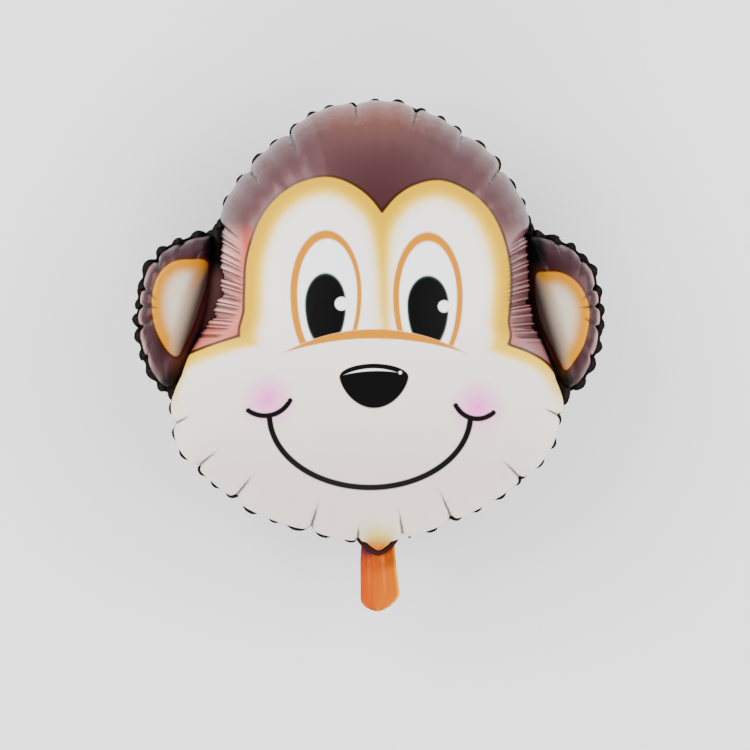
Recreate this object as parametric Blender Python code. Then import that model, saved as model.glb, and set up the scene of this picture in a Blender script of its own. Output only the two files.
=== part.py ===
"""A monkey head foil balloon, lying on its back with the face up.

Two sheets of thin foil film are sealed together along a flat margin that runs round the head
and both ears, so the balloon is a round pillow for the head with a smaller pillow on each side.
Where the sealed edge gathers, short creases run in over the swollen film and the margin stands
out behind it in scallops. An orange filling tail comes out between the sheets under the chin.

The balloon is closed, so each sheet is modelled as the solid half of the swollen balloon on its
own side of the seam. Metres, +Z up, +Y towards the crown, and the origin on the floor under the
middle of the balloon.
"""

import math

import bmesh
import bpy

# Driving sizes of the inflated balloon
HEAD_HEIGHT = 0.526
HEAD_SWELL = 0.133
EAR_SWELL = 0.036
SEAL_WIDTH = 0.008
SEAL_THICKNESS = 0.0022
SHEET_GAP = 0.0003

# The spot on the back that is pressed flat where the balloon lies
FLAT_SPOT_RADIUS = 0.055

# Creases and scallops of the gathered edge
CREASE_DEPTH = 0.006
CREASE_DROP = 0.22
CREASE_REACH = 0.24
LOBE_SWELL = 0.0025
SCALLOP_DEPTH = 0.0035

# The filling tail under the chin, and the swollen neck that it comes out of. The tail's root is
# pressed thinner between the two sheets.
TAIL_WIDTH = 0.051
TAIL_LENGTH = 0.079
TAIL_THICKNESS = 0.0016
ROOT_THICKNESS = 0.0010
TAIL_CORNER = 0.020
TAIL_TUCK = 0.016
TAIL_OFFSET = 0.009
TAIL_CLEARANCE = 0.0003
NECK_OVERHANG = 0.0032
NECK_SWELL = 0.013
NECK_REACH = 0.021

# The head's outer edge, as shares of its height: height, then reach to the left and right
CROWN = (0.011, 0.540)
CHIN = (0.008, -0.460)
HEAD_ROWS = (
    (0.515, -0.124, 0.125),
    (0.426, -0.243, 0.264),
    (0.357, -0.304, 0.314),
    (0.291, -0.340, 0.350),
    (0.200, -0.353, 0.365),
    (0.112, -0.359, 0.371),
    (0.038, -0.386, 0.382),
    (-0.040, -0.430, 0.413),
    (-0.124, -0.452, 0.435),
    (-0.202, -0.449, 0.420),
    (-0.257, -0.428, 0.397),
    (-0.314, -0.369, 0.346),
    (-0.380, -0.283, 0.245),
    (-0.426, -0.165, 0.143),
)
# The right ear's outer edge in the same shares, from the top junction round to the inner side
EAR_EDGE = (
    (0.344, 0.247),
    (0.411, 0.236),
    (0.460, 0.213),
    (0.494, 0.181),
    (0.515, 0.141),
    (0.529, 0.084),
    (0.529, 0.029),
    (0.517, -0.023),
    (0.500, -0.067),
    (0.475, -0.105),
    (0.445, -0.133),
    (0.418, -0.105),
    (0.380, -0.040),
    (0.338, 0.038),
    (0.316, 0.114),
    (0.312, 0.200),
)
EAR_MIDDLE = (0.422, 0.067)
EARS_SHIFT = -0.006

# Where the main creases run in, in degrees round the middle of the head or of the right ear.
# Two more run in beside the neck, where the tail is.
HEAD_CREASES = (34, 53, 66, 79, 94, 112, 126, 143, 203, 216, 229, 252, 294, 317, 338)
EAR_CREASES = (-62, -30, 6, 37, 73)

# How finely the pillows are drawn
HEAD_SCALLOPS = 60
EAR_SCALLOPS = 23
SPOKES_PER_SCALLOP = 3
HEAD_RINGS = (0.38, 0.60, 0.78, 0.90, 0.97, 1.0)
EAR_RINGS = (0.40, 0.70, 0.90, 1.0)
CURVE_STEPS = 8
CORNER_STEPS = 8
NECK_STEPS = 20
NECK_RINGS = 5

# A gas-filled foil pillow is flatter in the middle than a ball and stands upright at its seam.
# Its level lines are rounder than its edge: each bend of the edge is spread over this many degrees.
SWELL_POWER = 2.79
ROUNDING = 70

# Finishes
PEARL = (0.86, 0.80, 0.76)
BROWN = (0.20, 0.10, 0.09)
AMBER = (0.85, 0.38, 0.03)


def clear_scene():
    """Removes whatever the file opened with."""
    for old in list(bpy.data.objects):
        bpy.data.objects.remove(old)


def foil(name, colour, roughness, metallic):
    """A Principled finish for one kind of film."""
    material = bpy.data.materials.new(name)
    material.use_nodes = True
    shader = material.node_tree.nodes["Principled BSDF"]
    shader.inputs["Base Color"].default_value = (*colour, 1.0)
    shader.inputs["Roughness"].default_value = roughness
    shader.inputs["Metallic"].default_value = metallic
    return material


def closed_curve(points):
    """A smooth closed curve through the given points, as a denser list of points."""
    count = len(points)
    smooth = []
    for i in range(count):
        before, start, end, after = (points[(i + k) % count] for k in (-1, 0, 1, 2))
        for step in range(CURVE_STEPS):
            t = step / CURVE_STEPS
            weights = (
                (-t + 2 * t**2 - t**3) / 2,
                (2 - 5 * t**2 + 3 * t**3) / 2,
                (t + 4 * t**2 - 3 * t**3) / 2,
                (-(t**2) + t**3) / 2,
            )
            corners = (before, start, end, after)
            smooth.append(
                tuple(sum(w * c[axis] for w, c in zip(weights, corners)) for axis in (0, 1))
            )
    return smooth


def reach_round(loop, middle):
    """A function of angle that gives how far the loop lies from its middle."""
    found = sorted(
        (math.atan2(y - middle[1], x - middle[0]) % math.tau, math.hypot(x - middle[0], y - middle[1]))
        for x, y in loop
    )
    found = [(found[-1][0] - math.tau, found[-1][1]), *found, (found[0][0] + math.tau, found[0][1])]

    def reach(angle):
        angle %= math.tau
        for (low, near), (high, far) in zip(found, found[1:]):
            if low <= angle <= high:
                share = (angle - low) / max(high - low, 1e-9)
                return near + (far - near) * share
        return found[0][1]

    return reach


def head_edge():
    """The head's outer edge in metres, from the crown round to the right."""
    right = [(row[2], row[0]) for row in HEAD_ROWS]
    left = [(row[1], row[0]) for row in reversed(HEAD_ROWS)]
    return [(x * HEAD_HEIGHT, y * HEAD_HEIGHT) for x, y in (CROWN, *right, CHIN, *left)]


def ear_edge(hand):
    """One ear's outer edge in metres: hand is 1 for the right ear and -1 for the left."""
    return [((hand * x + EARS_SHIFT) * HEAD_HEIGHT, y * HEAD_HEIGHT) for x, y in EAR_EDGE]


def ear_middle(hand):
    """The point that an ear's spokes run out from."""
    return (hand * EAR_MIDDLE[0] + EARS_SHIFT) * HEAD_HEIGHT, EAR_MIDDLE[1] * HEAD_HEIGHT


def swell(share):
    """The height of a gas-filled foil pillow, where share runs from 0 in its middle to 1 at its seam."""
    return math.sqrt(max(0.0, 1 - share**SWELL_POWER))


def near_seam(share):
    """How much of a crease or lobe shows at this share of the way out to the seam."""
    t = min(1.0, max(0.0, (share - 1 + CREASE_REACH) / CREASE_REACH))
    return t * t * (3 - 2 * t)


def spokes_of(edge, middle, scallops, creases):
    """The spokes of a pillow.

    Each has its angle, its reach to the seam, the rounder reach of the level lines further in,
    its share of a crease, its share of the lobe between two creases, and its reach to the
    margin's outer edge.
    """
    reach = reach_round(closed_curve(edge), middle)
    count = scallops * SPOKES_PER_SCALLOP
    turn = math.tau / count
    spread = round(math.radians(ROUNDING) / 2 / turn)
    tucked = sorted(round(math.radians(angle) / turn) % count for angle in creases)
    spokes = []
    for i in range(count):
        before = max((c for c in tucked if c <= i), default=tucked[-1] - count)
        after = min((c for c in tucked if c > i), default=tucked[0] + count)
        tuck = 1.0 if i in tucked else 0.0
        lobe = math.sin(math.pi * (i - before) / (after - before)) ** 0.5 if i != before else 0.0
        outer = reach(i * turn)
        nearby = [reach((i + k) * turn) for k in range(-spread, spread + 1)]
        notch = SCALLOP_DEPTH if i % SPOKES_PER_SCALLOP == 0 else 0.0
        spokes.append(
            {
                "angle": i * turn,
                "seam": outer - SEAL_WIDTH,
                "round": sum(nearby) / len(nearby) - SEAL_WIDTH,
                "tuck": tuck,
                "lobe": lobe,
                "margin": outer - notch - tuck * CREASE_DEPTH / 2,
            }
        )
    return spokes


def pillow_half(name, spokes, middle, height, rings, side, flat_radius=0.0):
    """Half of a swollen pillow on one side of the seam: side is 1 for the front and -1 for the back.

    The flat mating face lies half a gap from the seam, then comes the flat margin, then the
    dome, ring by ring. A flat radius presses the top of the dome flat that far out.
    """
    floor = SHEET_GAP / 2
    film = SEAL_THICKNESS / 2
    flat_height = height * swell(flat_radius / min(s["seam"] for s in spokes))
    shape = bmesh.new()

    def point(spoke, reach, level):
        return shape.verts.new(
            (
                middle[0] + reach * math.cos(spoke["angle"]),
                middle[1] + reach * math.sin(spoke["angle"]),
                side * level,
            )
        )

    def dome(spoke, share):
        shown = near_seam(share)
        seam = spoke["round"] + (spoke["seam"] - spoke["round"]) * share**2
        seam += (spoke["lobe"] * LOBE_SWELL - spoke["tuck"] * CREASE_DEPTH) * shown
        level = height * swell(share) * (1 - spoke["tuck"] * CREASE_DROP * shown)
        return point(spoke, share * seam, film + min(level, flat_height))

    loops = [
        [point(s, s["margin"], floor) for s in spokes],
        [point(s, s["margin"], film) for s in spokes],
        *[[dome(s, share) for s in spokes] for share in reversed(rings)],
    ]
    if flat_radius:
        loops.append([point(s, flat_radius, film + flat_height) for s in spokes])
    top = shape.verts.new((*middle, side * (film + flat_height)))
    shape.faces.new(loops[0])
    for lower, upper in zip(loops, loops[1:]):
        for i in range(len(lower)):
            j = (i + 1) % len(lower)
            shape.faces.new((lower[i], lower[j], upper[j], upper[i]))
    for i in range(len(loops[-1])):
        shape.faces.new((loops[-1][i], loops[-1][(i + 1) % len(loops[-1])], top))
    return finished(name, shape)


def neck_half(name, side):
    """Half of the small swollen neck under the chin, where the two sheets part round the tail."""
    shape = bmesh.new()
    middle = (TAIL_OFFSET, chin_seam())
    floor = SHEET_GAP / 2

    def point(tilt, turn):
        return shape.verts.new(
            (
                middle[0] + neck_half_width() * math.cos(tilt) * math.cos(turn),
                middle[1] + NECK_REACH * math.cos(tilt) * math.sin(turn),
                side * (floor + NECK_SWELL * math.sin(tilt)),
            )
        )

    rings = [
        [point(math.pi / 2 * k / NECK_RINGS, math.tau * i / NECK_STEPS) for i in range(NECK_STEPS)]
        for k in range(NECK_RINGS)
    ]
    top = shape.verts.new((*middle, side * (floor + NECK_SWELL)))
    shape.faces.new(rings[0])
    for lower, upper in zip(rings, rings[1:]):
        for i in range(NECK_STEPS):
            j = (i + 1) % NECK_STEPS
            shape.faces.new((lower[i], lower[j], upper[j], upper[i]))
    for i in range(NECK_STEPS):
        shape.faces.new((rings[-1][i], rings[-1][(i + 1) % NECK_STEPS], top))
    return finished(name, shape)


def neck_half_width():
    """The neck is a little wider than the tail that it holds."""
    return TAIL_WIDTH / 2 + NECK_OVERHANG


def chin_edge():
    """Where the sealed margin's outer edge crosses the tail's centre line."""
    reach = reach_round(closed_curve(head_edge()), (0.0, 0.0))
    angle = math.atan2(CHIN[1] * HEAD_HEIGHT, TAIL_OFFSET)
    return -reach(angle)


def chin_seam():
    """Where the seam itself crosses the tail's centre line."""
    return chin_edge() + SEAL_WIDTH


def neck_end():
    """Where the tail comes out from under the neck."""
    return chin_seam() - NECK_REACH - TAIL_CLEARANCE


def tail_outline():
    """The part of the tail that shows: square at the neck, with two round corners at its end."""
    half_width = TAIL_WIDTH / 2
    corner = min(TAIL_CORNER, half_width - TAIL_CLEARANCE)
    end = chin_edge() - TAIL_LENGTH
    points = [(TAIL_OFFSET + half_width, neck_end()), (TAIL_OFFSET - half_width, neck_end())]
    for hand, start in ((-1, math.pi), (1, 1.5 * math.pi)):
        for step in range(CORNER_STEPS + 1):
            angle = start + math.pi / 2 * step / CORNER_STEPS
            points.append(
                (
                    TAIL_OFFSET + hand * (half_width - corner) + corner * math.cos(angle),
                    end + corner + corner * math.sin(angle),
                )
            )
    return points


def root_outline(clearance):
    """The tail's straight root, from inside the pocket down to just past the neck."""
    half_width = TAIL_WIDTH / 2 + clearance
    top = chin_seam() + TAIL_TUCK + clearance
    end = neck_end() - TAIL_THICKNESS
    sides = (TAIL_OFFSET - half_width, TAIL_OFFSET + half_width)
    return [(sides[1], top), (sides[0], top), (sides[0], end), (sides[1], end)]


def strip(name, outline, thickness):
    """A flat strip of the given outline, centred on the seam."""
    shape = bmesh.new()
    lower = [shape.verts.new((x, y, -thickness / 2)) for x, y in outline]
    upper = [shape.verts.new((x, y, thickness / 2)) for x, y in outline]
    shape.faces.new(reversed(lower))
    shape.faces.new(upper)
    for i in range(len(outline)):
        j = (i + 1) % len(outline)
        shape.faces.new((lower[i], lower[j], upper[j], upper[i]))
    return finished(name, shape)


def finished(name, shape):
    """Turns a closed bmesh into an object, with its faces pointing out."""
    bmesh.ops.recalc_face_normals(shape, faces=shape.faces)
    mesh = bpy.data.meshes.new(name)
    shape.to_mesh(mesh)
    shape.free()
    made = bpy.data.objects.new(name, mesh)
    bpy.context.scene.collection.objects.link(made)
    return made


def combine(target, other, operation):
    """Joins or cuts the target by another object, which then only serves as a guide."""
    change = target.modifiers.new(f"{operation.lower()}_{other.name}", "BOOLEAN")
    change.operation = operation
    change.object = other
    other.hide_render = True
    other.display_type = "WIRE"


def head_creases():
    """The head's creases in degrees, with one on each side of the neck."""
    under = math.atan2(chin_seam(), TAIL_OFFSET)
    beside = math.atan2(neck_half_width(), -chin_seam())
    return (*HEAD_CREASES, math.degrees(under - beside), math.degrees(under + beside))


def foil_sheet(name, side, pocket, material):
    """One foil sheet with its half of the head, the ears and the neck, cut out for the tail."""
    head = spokes_of(head_edge(), (0.0, 0.0), HEAD_SCALLOPS, head_creases())
    flat_radius = FLAT_SPOT_RADIUS if side < 0 else 0.0
    sheet = pillow_half(name, head, (0.0, 0.0), HEAD_SWELL, HEAD_RINGS, side, flat_radius)
    pieces = [sheet]
    for word, hand in (("right", 1), ("left", -1)):
        creases = [angle if hand > 0 else 180 - angle for angle in EAR_CREASES]
        spokes = spokes_of(ear_edge(hand), ear_middle(hand), EAR_SCALLOPS, creases)
        ear = pillow_half(f"{name}_{word}_ear", spokes, ear_middle(hand), EAR_SWELL, EAR_RINGS, side)
        combine(sheet, ear, "UNION")
        pieces.append(ear)
    neck = neck_half(f"{name}_neck", side)
    combine(sheet, neck, "UNION")
    combine(sheet, pocket, "DIFFERENCE")
    sheet.data.materials.append(material)
    return [*pieces, neck]


def stand_on_floor(pieces):
    """Moves the whole balloon so that it lies on the floor with its middle over the origin."""
    corners = [vertex.co for piece in pieces for vertex in piece.data.vertices]
    lowest = [min(c[axis] for c in corners) for axis in range(3)]
    highest = [max(c[axis] for c in corners) for axis in range(3)]
    balloon = bpy.data.objects.new("balloon", None)
    bpy.context.scene.collection.objects.link(balloon)
    balloon.location = (
        -(lowest[0] + highest[0]) / 2,
        -(lowest[1] + highest[1]) / 2,
        -lowest[2],
    )
    for piece in pieces:
        piece.parent = balloon


def build():
    """Makes the tail, the pocket that it leaves between the sheets, and the two sheets."""
    clear_scene()
    tail = strip("filling_tail", tail_outline(), TAIL_THICKNESS)
    tail.data.materials.append(foil("amber_foil", AMBER, 0.22, 0.7))
    root = strip("tail_root", root_outline(0.0), ROOT_THICKNESS)
    combine(tail, root, "UNION")
    pocket = strip("tail_pocket", root_outline(TAIL_CLEARANCE), ROOT_THICKNESS + 2 * TAIL_CLEARANCE)
    front = foil_sheet("front_foil", 1, pocket, foil("pearl_foil", PEARL, 0.35, 0.4))
    back = foil_sheet("back_foil", -1, pocket, foil("brown_foil", BROWN, 0.25, 0.8))
    for sheet in (front[0], back[0]):
        sheet.data.shade_smooth()
        sheet.data.set_sharp_from_angle(angle=math.radians(50))
    stand_on_floor([tail, root, pocket, *front, *back])


build()
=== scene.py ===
# %% [markdown]
# # A monkey head foil balloon
# A foil balloon is two sheets of thin metallised film, printed, laid on each other and sealed
# along a narrow margin. Gas swells them into pillows. The film can't stretch, so all the length
# that the round shape has no room for is gathered at the seam, in creases and ruffles. This
# script makes the film with a cloth simulation under pressure, the sealed margin with Geometry
# Nodes, and the printed face with shader nodes. It starts from the solid model, which it dresses.

# %% The frame
import math
import random

import bmesh
import bpy
import numpy as np
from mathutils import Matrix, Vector
from mathutils.geometry import delaunay_2d_cdt


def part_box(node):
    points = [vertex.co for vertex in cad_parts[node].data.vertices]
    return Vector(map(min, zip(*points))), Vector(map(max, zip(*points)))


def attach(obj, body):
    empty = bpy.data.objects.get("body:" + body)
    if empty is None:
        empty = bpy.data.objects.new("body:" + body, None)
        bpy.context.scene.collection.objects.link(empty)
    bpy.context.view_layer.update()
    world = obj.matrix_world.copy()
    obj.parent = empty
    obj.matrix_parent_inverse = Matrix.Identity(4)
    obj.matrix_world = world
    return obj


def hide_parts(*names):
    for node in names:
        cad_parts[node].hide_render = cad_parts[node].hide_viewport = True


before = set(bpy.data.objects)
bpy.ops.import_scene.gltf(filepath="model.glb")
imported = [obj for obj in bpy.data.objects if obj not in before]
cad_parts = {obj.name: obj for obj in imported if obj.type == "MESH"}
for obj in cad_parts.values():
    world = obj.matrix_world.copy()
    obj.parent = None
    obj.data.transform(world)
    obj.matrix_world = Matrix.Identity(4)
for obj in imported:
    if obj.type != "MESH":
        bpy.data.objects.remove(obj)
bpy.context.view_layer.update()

front_low, front_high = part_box("front_foil")
back_low, back_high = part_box("back_foil")
SEAM_LEVEL = (front_low.z + back_high.z) / 2
FRONT_RISE = front_high.z - SEAM_LEVEL
BACK_REST = SEAM_LEVEL - back_low.z
print("seam", round(SEAM_LEVEL, 4), "m up; the front rises", round(FRONT_RISE, 4), "m above it")

# %% [markdown]
# ## The view
# The photograph looks straight at the face. The balloon can't stand, so here it lies on its back
# and the camera looks straight down. One pixel of the photograph is a little over a millimetre
# at the seam. The camera's height follows from its lens and from the width of its view.

# %% Camera
METRES_PER_PIXEL = 0.0011765
IMAGE_SIZE = 750
LENS = 85.0
SENSOR = 36.0
HEAD_MIDDLE = Vector((0.0031, 0.0185))
MIDDLE_PIXEL = (372, 340)


def metres(pixels):
    """A length of the photograph in metres."""
    return pixels * METRES_PER_PIXEL


def on_print(pixel_x, pixel_y):
    """A point of the photograph in metres from the head's middle, at the height of the seam."""
    return metres(pixel_x - MIDDLE_PIXEL[0]), metres(MIDDLE_PIXEL[1] - pixel_y)


def x_at(pixel_x):
    """Where a column of the photograph lies in the scene."""
    return HEAD_MIDDLE.x + on_print(pixel_x, 0)[0]


def y_at(pixel_y):
    """Where a row of the photograph lies in the scene."""
    return HEAD_MIDDLE.y + on_print(0, pixel_y)[1]


def placed(name, data):
    """A new object in the scene, made of a mesh, curve, light or camera."""
    made = bpy.data.objects.new(name, data)
    bpy.context.scene.collection.objects.link(made)
    return made


VIEW_CENTRE = HEAD_MIDDLE + Vector(on_print(IMAGE_SIZE / 2, IMAGE_SIZE / 2))
VIEW_HEIGHT = metres(IMAGE_SIZE) * LENS / SENSOR

camera_data = bpy.data.cameras.new("camera")
camera_data.lens = LENS
camera_data.sensor_width = SENSOR
camera = placed("camera", camera_data)
camera.location = (*VIEW_CENTRE, SEAM_LEVEL + VIEW_HEIGHT)
bpy.context.scene.camera = camera
print("camera", round(VIEW_HEIGHT, 3), "m above the seam")

# %% [markdown]
# ## Studio
# Shiny film shows what is around it more than its own colour. A pale room that is brightest at
# the horizon gives the film its grey satin bands near the edge, and three wide soft boxes give
# the middle a gentle shape.

# %% Floor, room and soft lights
FLOOR_SIZE = 12.0
FLOOR_COLOUR = (0.9, 0.9, 0.9, 1.0)
FLOOR_ROUGHNESS = 0.9
ROOM_STRENGTH = 2.1
# The room's colours by height: where on the way up from the horizon, and red, green, blue, alpha
ROOM_BANDS = ((0.3, (1.0, 0.99, 0.98, 1.0)), (0.85, (0.12, 0.12, 0.13, 1.0)))
SOFT_BOX_SIZE = 2.4
# Soft boxes are (name, place, height of the point they aim at, watts)
SOFT_BOXES = (
    ("soft_box_left", (-1.9, 1.0, 1.7), 0.2, 105),
    ("soft_box_right", (2.0, 0.4, 1.6), 0.2, 84),
    ("soft_box_low", (-0.2, -2.2, 1.5), 0.1, 74),
)


def plain_floor():
    """A wide pale floor under the balloon."""
    half = FLOOR_SIZE / 2
    corners = [(-half, -half, 0), (half, -half, 0), (half, half, 0), (-half, half, 0)]
    mesh = bpy.data.meshes.new("floor")
    mesh.from_pydata(corners, [], [(0, 1, 2, 3)])
    paint = bpy.data.materials.new("pale_floor")
    paint.use_nodes = True
    shader = paint.node_tree.nodes["Principled BSDF"]
    shader.inputs["Base Color"].default_value = FLOOR_COLOUR
    shader.inputs["Roughness"].default_value = FLOOR_ROUGHNESS
    mesh.materials.append(paint)
    placed("floor", mesh)


def soft_box(name, place, aim_height, power):
    """A square area light that points from its place to a point over the origin."""
    light = bpy.data.lights.new(name, "AREA")
    light.size = SOFT_BOX_SIZE
    light.energy = power
    lamp = placed(name, light)
    lamp.location = place
    aim = Vector((0, 0, aim_height)) - Vector(place)
    lamp.rotation_euler = aim.to_track_quat("-Z", "Y").to_euler()


def pale_room():
    """A world that is bright at the horizon and dimmer overhead."""
    world = bpy.data.worlds.new("pale_room")
    world.use_nodes = True
    nodes, links = world.node_tree.nodes, world.node_tree.links
    place = nodes.new("ShaderNodeTexCoord")
    split = nodes.new("ShaderNodeSeparateXYZ")
    ramp = nodes.new("ShaderNodeValToRGB")
    for element, (position, colour) in zip(ramp.color_ramp.elements, ROOM_BANDS):
        element.position = position
        element.color = colour
    links.new(place.outputs["Generated"], split.inputs["Vector"])
    links.new(split.outputs["Z"], ramp.inputs["Fac"])
    links.new(ramp.outputs["Color"], nodes["Background"].inputs["Color"])
    nodes["Background"].inputs["Strength"].default_value = ROOM_STRENGTH
    bpy.context.scene.world = world


plain_floor()
pale_room()
for box in SOFT_BOXES:
    soft_box(*box)
print("soft boxes:", len(SOFT_BOXES))

# %% [markdown]
# ## Outlines
# The head is drawn as rows: a height above its middle and how far the sealed margin's outer edge
# reaches to the left and right, all as shares of the head's height. Each ear is a loop of points
# in the same shares. A Catmull-Rom curve runs smoothly through them.

# %% Outlines of the head and ears
HEAD_HEIGHT = 0.526
HEAD_SEAL = 0.003
EAR_SEAL = 0.0075
CROWN = (0.011, 0.540)
CHIN = (0.008, -0.460)
HEAD_ROWS = (
    (0.515, -0.124, 0.125),
    (0.426, -0.243, 0.264),
    (0.357, -0.304, 0.314),
    (0.291, -0.340, 0.350),
    (0.200, -0.353, 0.365),
    (0.112, -0.359, 0.371),
    (0.038, -0.386, 0.382),
    (-0.040, -0.430, 0.413),
    (-0.124, -0.452, 0.435),
    (-0.202, -0.449, 0.420),
    (-0.257, -0.428, 0.397),
    (-0.314, -0.369, 0.346),
    (-0.380, -0.283, 0.245),
    (-0.426, -0.165, 0.143),
)
EAR_EDGE = (
    (0.352, 0.243),
    (0.411, 0.236),
    (0.460, 0.213),
    (0.494, 0.181),
    (0.515, 0.141),
    (0.529, 0.084),
    (0.529, 0.029),
    (0.517, -0.023),
    (0.500, -0.067),
    (0.475, -0.105),
    (0.450, -0.118),
    (0.425, -0.085),
    (0.398, -0.030),
    (0.370, 0.040),
    (0.357, 0.114),
    (0.349, 0.200),
)
EAR_MIDDLE = (0.440, 0.067)
EARS_SHIFT = -0.006
CURVE_STEPS = 8


def smooth_loop(points, steps=CURVE_STEPS):
    """A closed Catmull-Rom curve through the points, as an array of x and y."""
    points = np.array(points, dtype=float)
    t = (np.arange(steps) / steps)[:, None]
    parts = []
    for i in range(len(points)):
        a, b, c, d = (points[(i + k) % len(points)] for k in (-1, 0, 1, 2))
        parts.append(
            ((-t + 2 * t**2 - t**3) * a + (2 - 5 * t**2 + 3 * t**3) * b
             + (t + 4 * t**2 - 3 * t**3) * c + (t**3 - t**2) * d) / 2
        )
    return np.concatenate(parts)


def head_outline():
    """The head's outer edge in metres from its middle."""
    right = [(row[2], row[0]) for row in HEAD_ROWS]
    left = [(row[1], row[0]) for row in reversed(HEAD_ROWS)]
    return smooth_loop((CROWN, *right, CHIN, *left)) * HEAD_HEIGHT


def ear_outline(hand):
    """One ear's outer edge in metres from the head's middle: hand is 1 on the right, -1 on the left."""
    return smooth_loop([(hand * x + EARS_SHIFT, y) for x, y in EAR_EDGE]) * HEAD_HEIGHT


def ear_middle(hand):
    """The middle of one ear, in metres from the head's middle."""
    return np.array((hand * EAR_MIDDLE[0] + EARS_SHIFT, EAR_MIDDLE[1])) * HEAD_HEIGHT


print("outline points:", len(head_outline()), "round the head,", len(ear_outline(1)), "round an ear")

# %% [markdown]
# ## The seam
# Flat film that swells has too long an edge for its new outline. The seal takes that up by
# swaying up and down in ruffles and by folding inwards at a few main creases. A Seam holds this
# for one pillow: for any angle round its middle it gives the reach, the ruffle and the tuck. Its
# ruffles are uneven, from a random series with a fixed seed. Both sheets share one seam.

# %% A seam with ruffles and creases
SEAM_SAMPLES = 1440
RUFFLE_HEIGHT = 0.0034
CREASE_WIDTH = 0.0045
# How many degrees a web takes to narrow at each of its ends
JOIN_BLEND = 6.0
# Ruffles turn after an uneven share of their width, and swing up and down by an uneven share of
# their height. Each range is (least, most).
RUFFLE_TURNS = (0.35, 0.65)
RUFFLE_SWINGS = (0.5, 1.3)
FIRST_SWING = (0.6, 1.2)


class Seam:
    """The sealed line round one pillow, by angle round the pillow's middle."""

    def __init__(self, outline, middle, seal, web, ruffle_width, creases, pleated, joined, seed):
        """creases are (angle, depth) pairs; pleated and joined are stretches of angle, in degrees.
        The seam lies inside the outline by the seal, or by the web where it is joined to another.
        """
        arms = outline - middle
        angles = np.arctan2(arms[:, 1], arms[:, 0]) % math.tau
        order = np.argsort(angles)
        self.angles = np.arange(SEAM_SAMPLES + 1) * math.tau / SEAM_SAMPLES
        self.joined = joined
        inner = self.within(self.angles, joined, JOIN_BLEND)
        self.reaches = np.interp(self.angles, angles[order], np.hypot(*arms[order].T), period=math.tau)
        self.reaches -= seal * (1 - inner) + web * inner
        spots = self.reaches[:, None] * np.stack((np.cos(self.angles), np.sin(self.angles)), 1)
        steps = np.hypot(*np.diff(spots, axis=0).T)
        self.along = np.concatenate(((0.0,), np.cumsum(steps)))
        self.length = self.along[-1]
        self.middle = middle
        self.pleated = pleated
        turns = [math.radians(degrees) % math.tau for degrees, _ in creases]
        places = [np.interp(turn, self.angles, self.along) for turn in turns]
        rank = np.argsort(places)
        self.crease_places = np.array(places)[rank]
        self.crease_depths = np.array([depth for _, depth in creases])[rank]
        self.ruffle(ruffle_width, random.Random(seed))

    def within(self, angle, stretches, blend):
        """1 inside the stretches and 0 outside them, fading inside over blend, in degrees."""
        degrees, inner = np.degrees(angle), np.zeros_like(angle)
        for low, high in stretches:
            off = np.abs((degrees - (low + high) / 2 + 180) % 360 - 180)
            inner = np.maximum(inner, np.clip(((high - low) / 2 - off) / blend, 0, 1))
        return inner

    def ruffle(self, width, chance):
        """Places the ruffles' turning points along the seam."""
        knots, heights, side = [0.0], [chance.uniform(*FIRST_SWING)], 1
        while knots[-1] < self.length:
            knots.append(knots[-1] + width * chance.uniform(*RUFFLE_TURNS))
            side = -side
            heights.append(side * chance.uniform(*RUFFLE_SWINGS))
        if len(knots) % 2 == 0:
            knots.pop(-2)
            heights.pop(-2)
        heights[-1] = heights[0]
        self.knots = np.array(knots) * self.length / knots[-1]
        self.heights = np.array(heights)

    def reach(self, angle):
        """How far the seam lies from the middle, without its creases."""
        return np.interp(angle, self.angles, self.reaches, period=math.tau)

    def sway(self, angle):
        """The ruffle at this angle, from about -1 below the seam's level to about 1 above it."""
        place = np.interp(angle % math.tau, self.angles, self.along)
        k = np.clip(np.searchsorted(self.knots, place, side="right") - 1, 0, len(self.knots) - 2)
        t = (place - self.knots[k]) / (self.knots[k + 1] - self.knots[k])
        t = (1 - np.cos(math.pi * t)) / 2
        free = 1 - self.within(angle, self.joined, JOIN_BLEND)
        return (self.heights[k] * (1 - t) + self.heights[k + 1] * t) * free

    def nearest_crease(self, angle):
        """How far along the seam the nearest crease is, and how deep it is. The distance changes its
        sign at each crease and at no other place, so that it can be blended between points."""
        place = np.interp(angle % math.tau, self.angles, self.along)
        gaps = (place[:, None] - self.crease_places + self.length / 2) % self.length - self.length / 2
        nearest = np.argmin(np.abs(gaps), axis=1)
        off = gaps[np.arange(len(place)), nearest]
        return off * np.where(nearest % 2, -1, 1), self.crease_depths[nearest]

    def tuck(self, angle):
        """How far the creases draw the seam in at this angle, in metres."""
        off, depth = self.nearest_crease(np.atleast_1d(angle))
        return depth * np.exp(-np.abs(off) / CREASE_WIDTH)

    def point(self, angle, share=1.0, show=1.0):
        """Where the seam is, or a place at a share of the way out to it, in x and y."""
        reach = self.reach(angle) * share - self.tuck(angle) * show
        return self.middle[0] + reach * np.cos(angle), self.middle[1] + reach * np.sin(angle)


# Main creases: degrees round the middle, and how deep each one folds in, in metres. An even
# number of them, because the sign of nearest_crease changes at each one.
HEAD_CREASES = (
    (4, 0.004), (14, 0.005), (34, 0.006), (53, 0.007), (66, 0.004), (79, 0.007), (94, 0.006), (112, 0.007),
    (126, 0.005), (143, 0.006), (157, 0.004), (163, 0.006), (172, 0.005), (203, 0.005), (216, 0.007),
    (229, 0.008), (252, 0.007), (266, 0.004), (279, 0.007), (294, 0.008), (317, 0.007), (338, 0.005),
)
EAR_CREASES = ((-62, 0.004), (-30, 0.005), (6, 0.005), (37, 0.005), (73, 0.004), (98, 0.003))
# Beside the ears the head's seam bends inwards, so its film is pleated closely there
HEAD_PLEATS = ((-2.0, 35.0), (144.0, 181.0))
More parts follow.
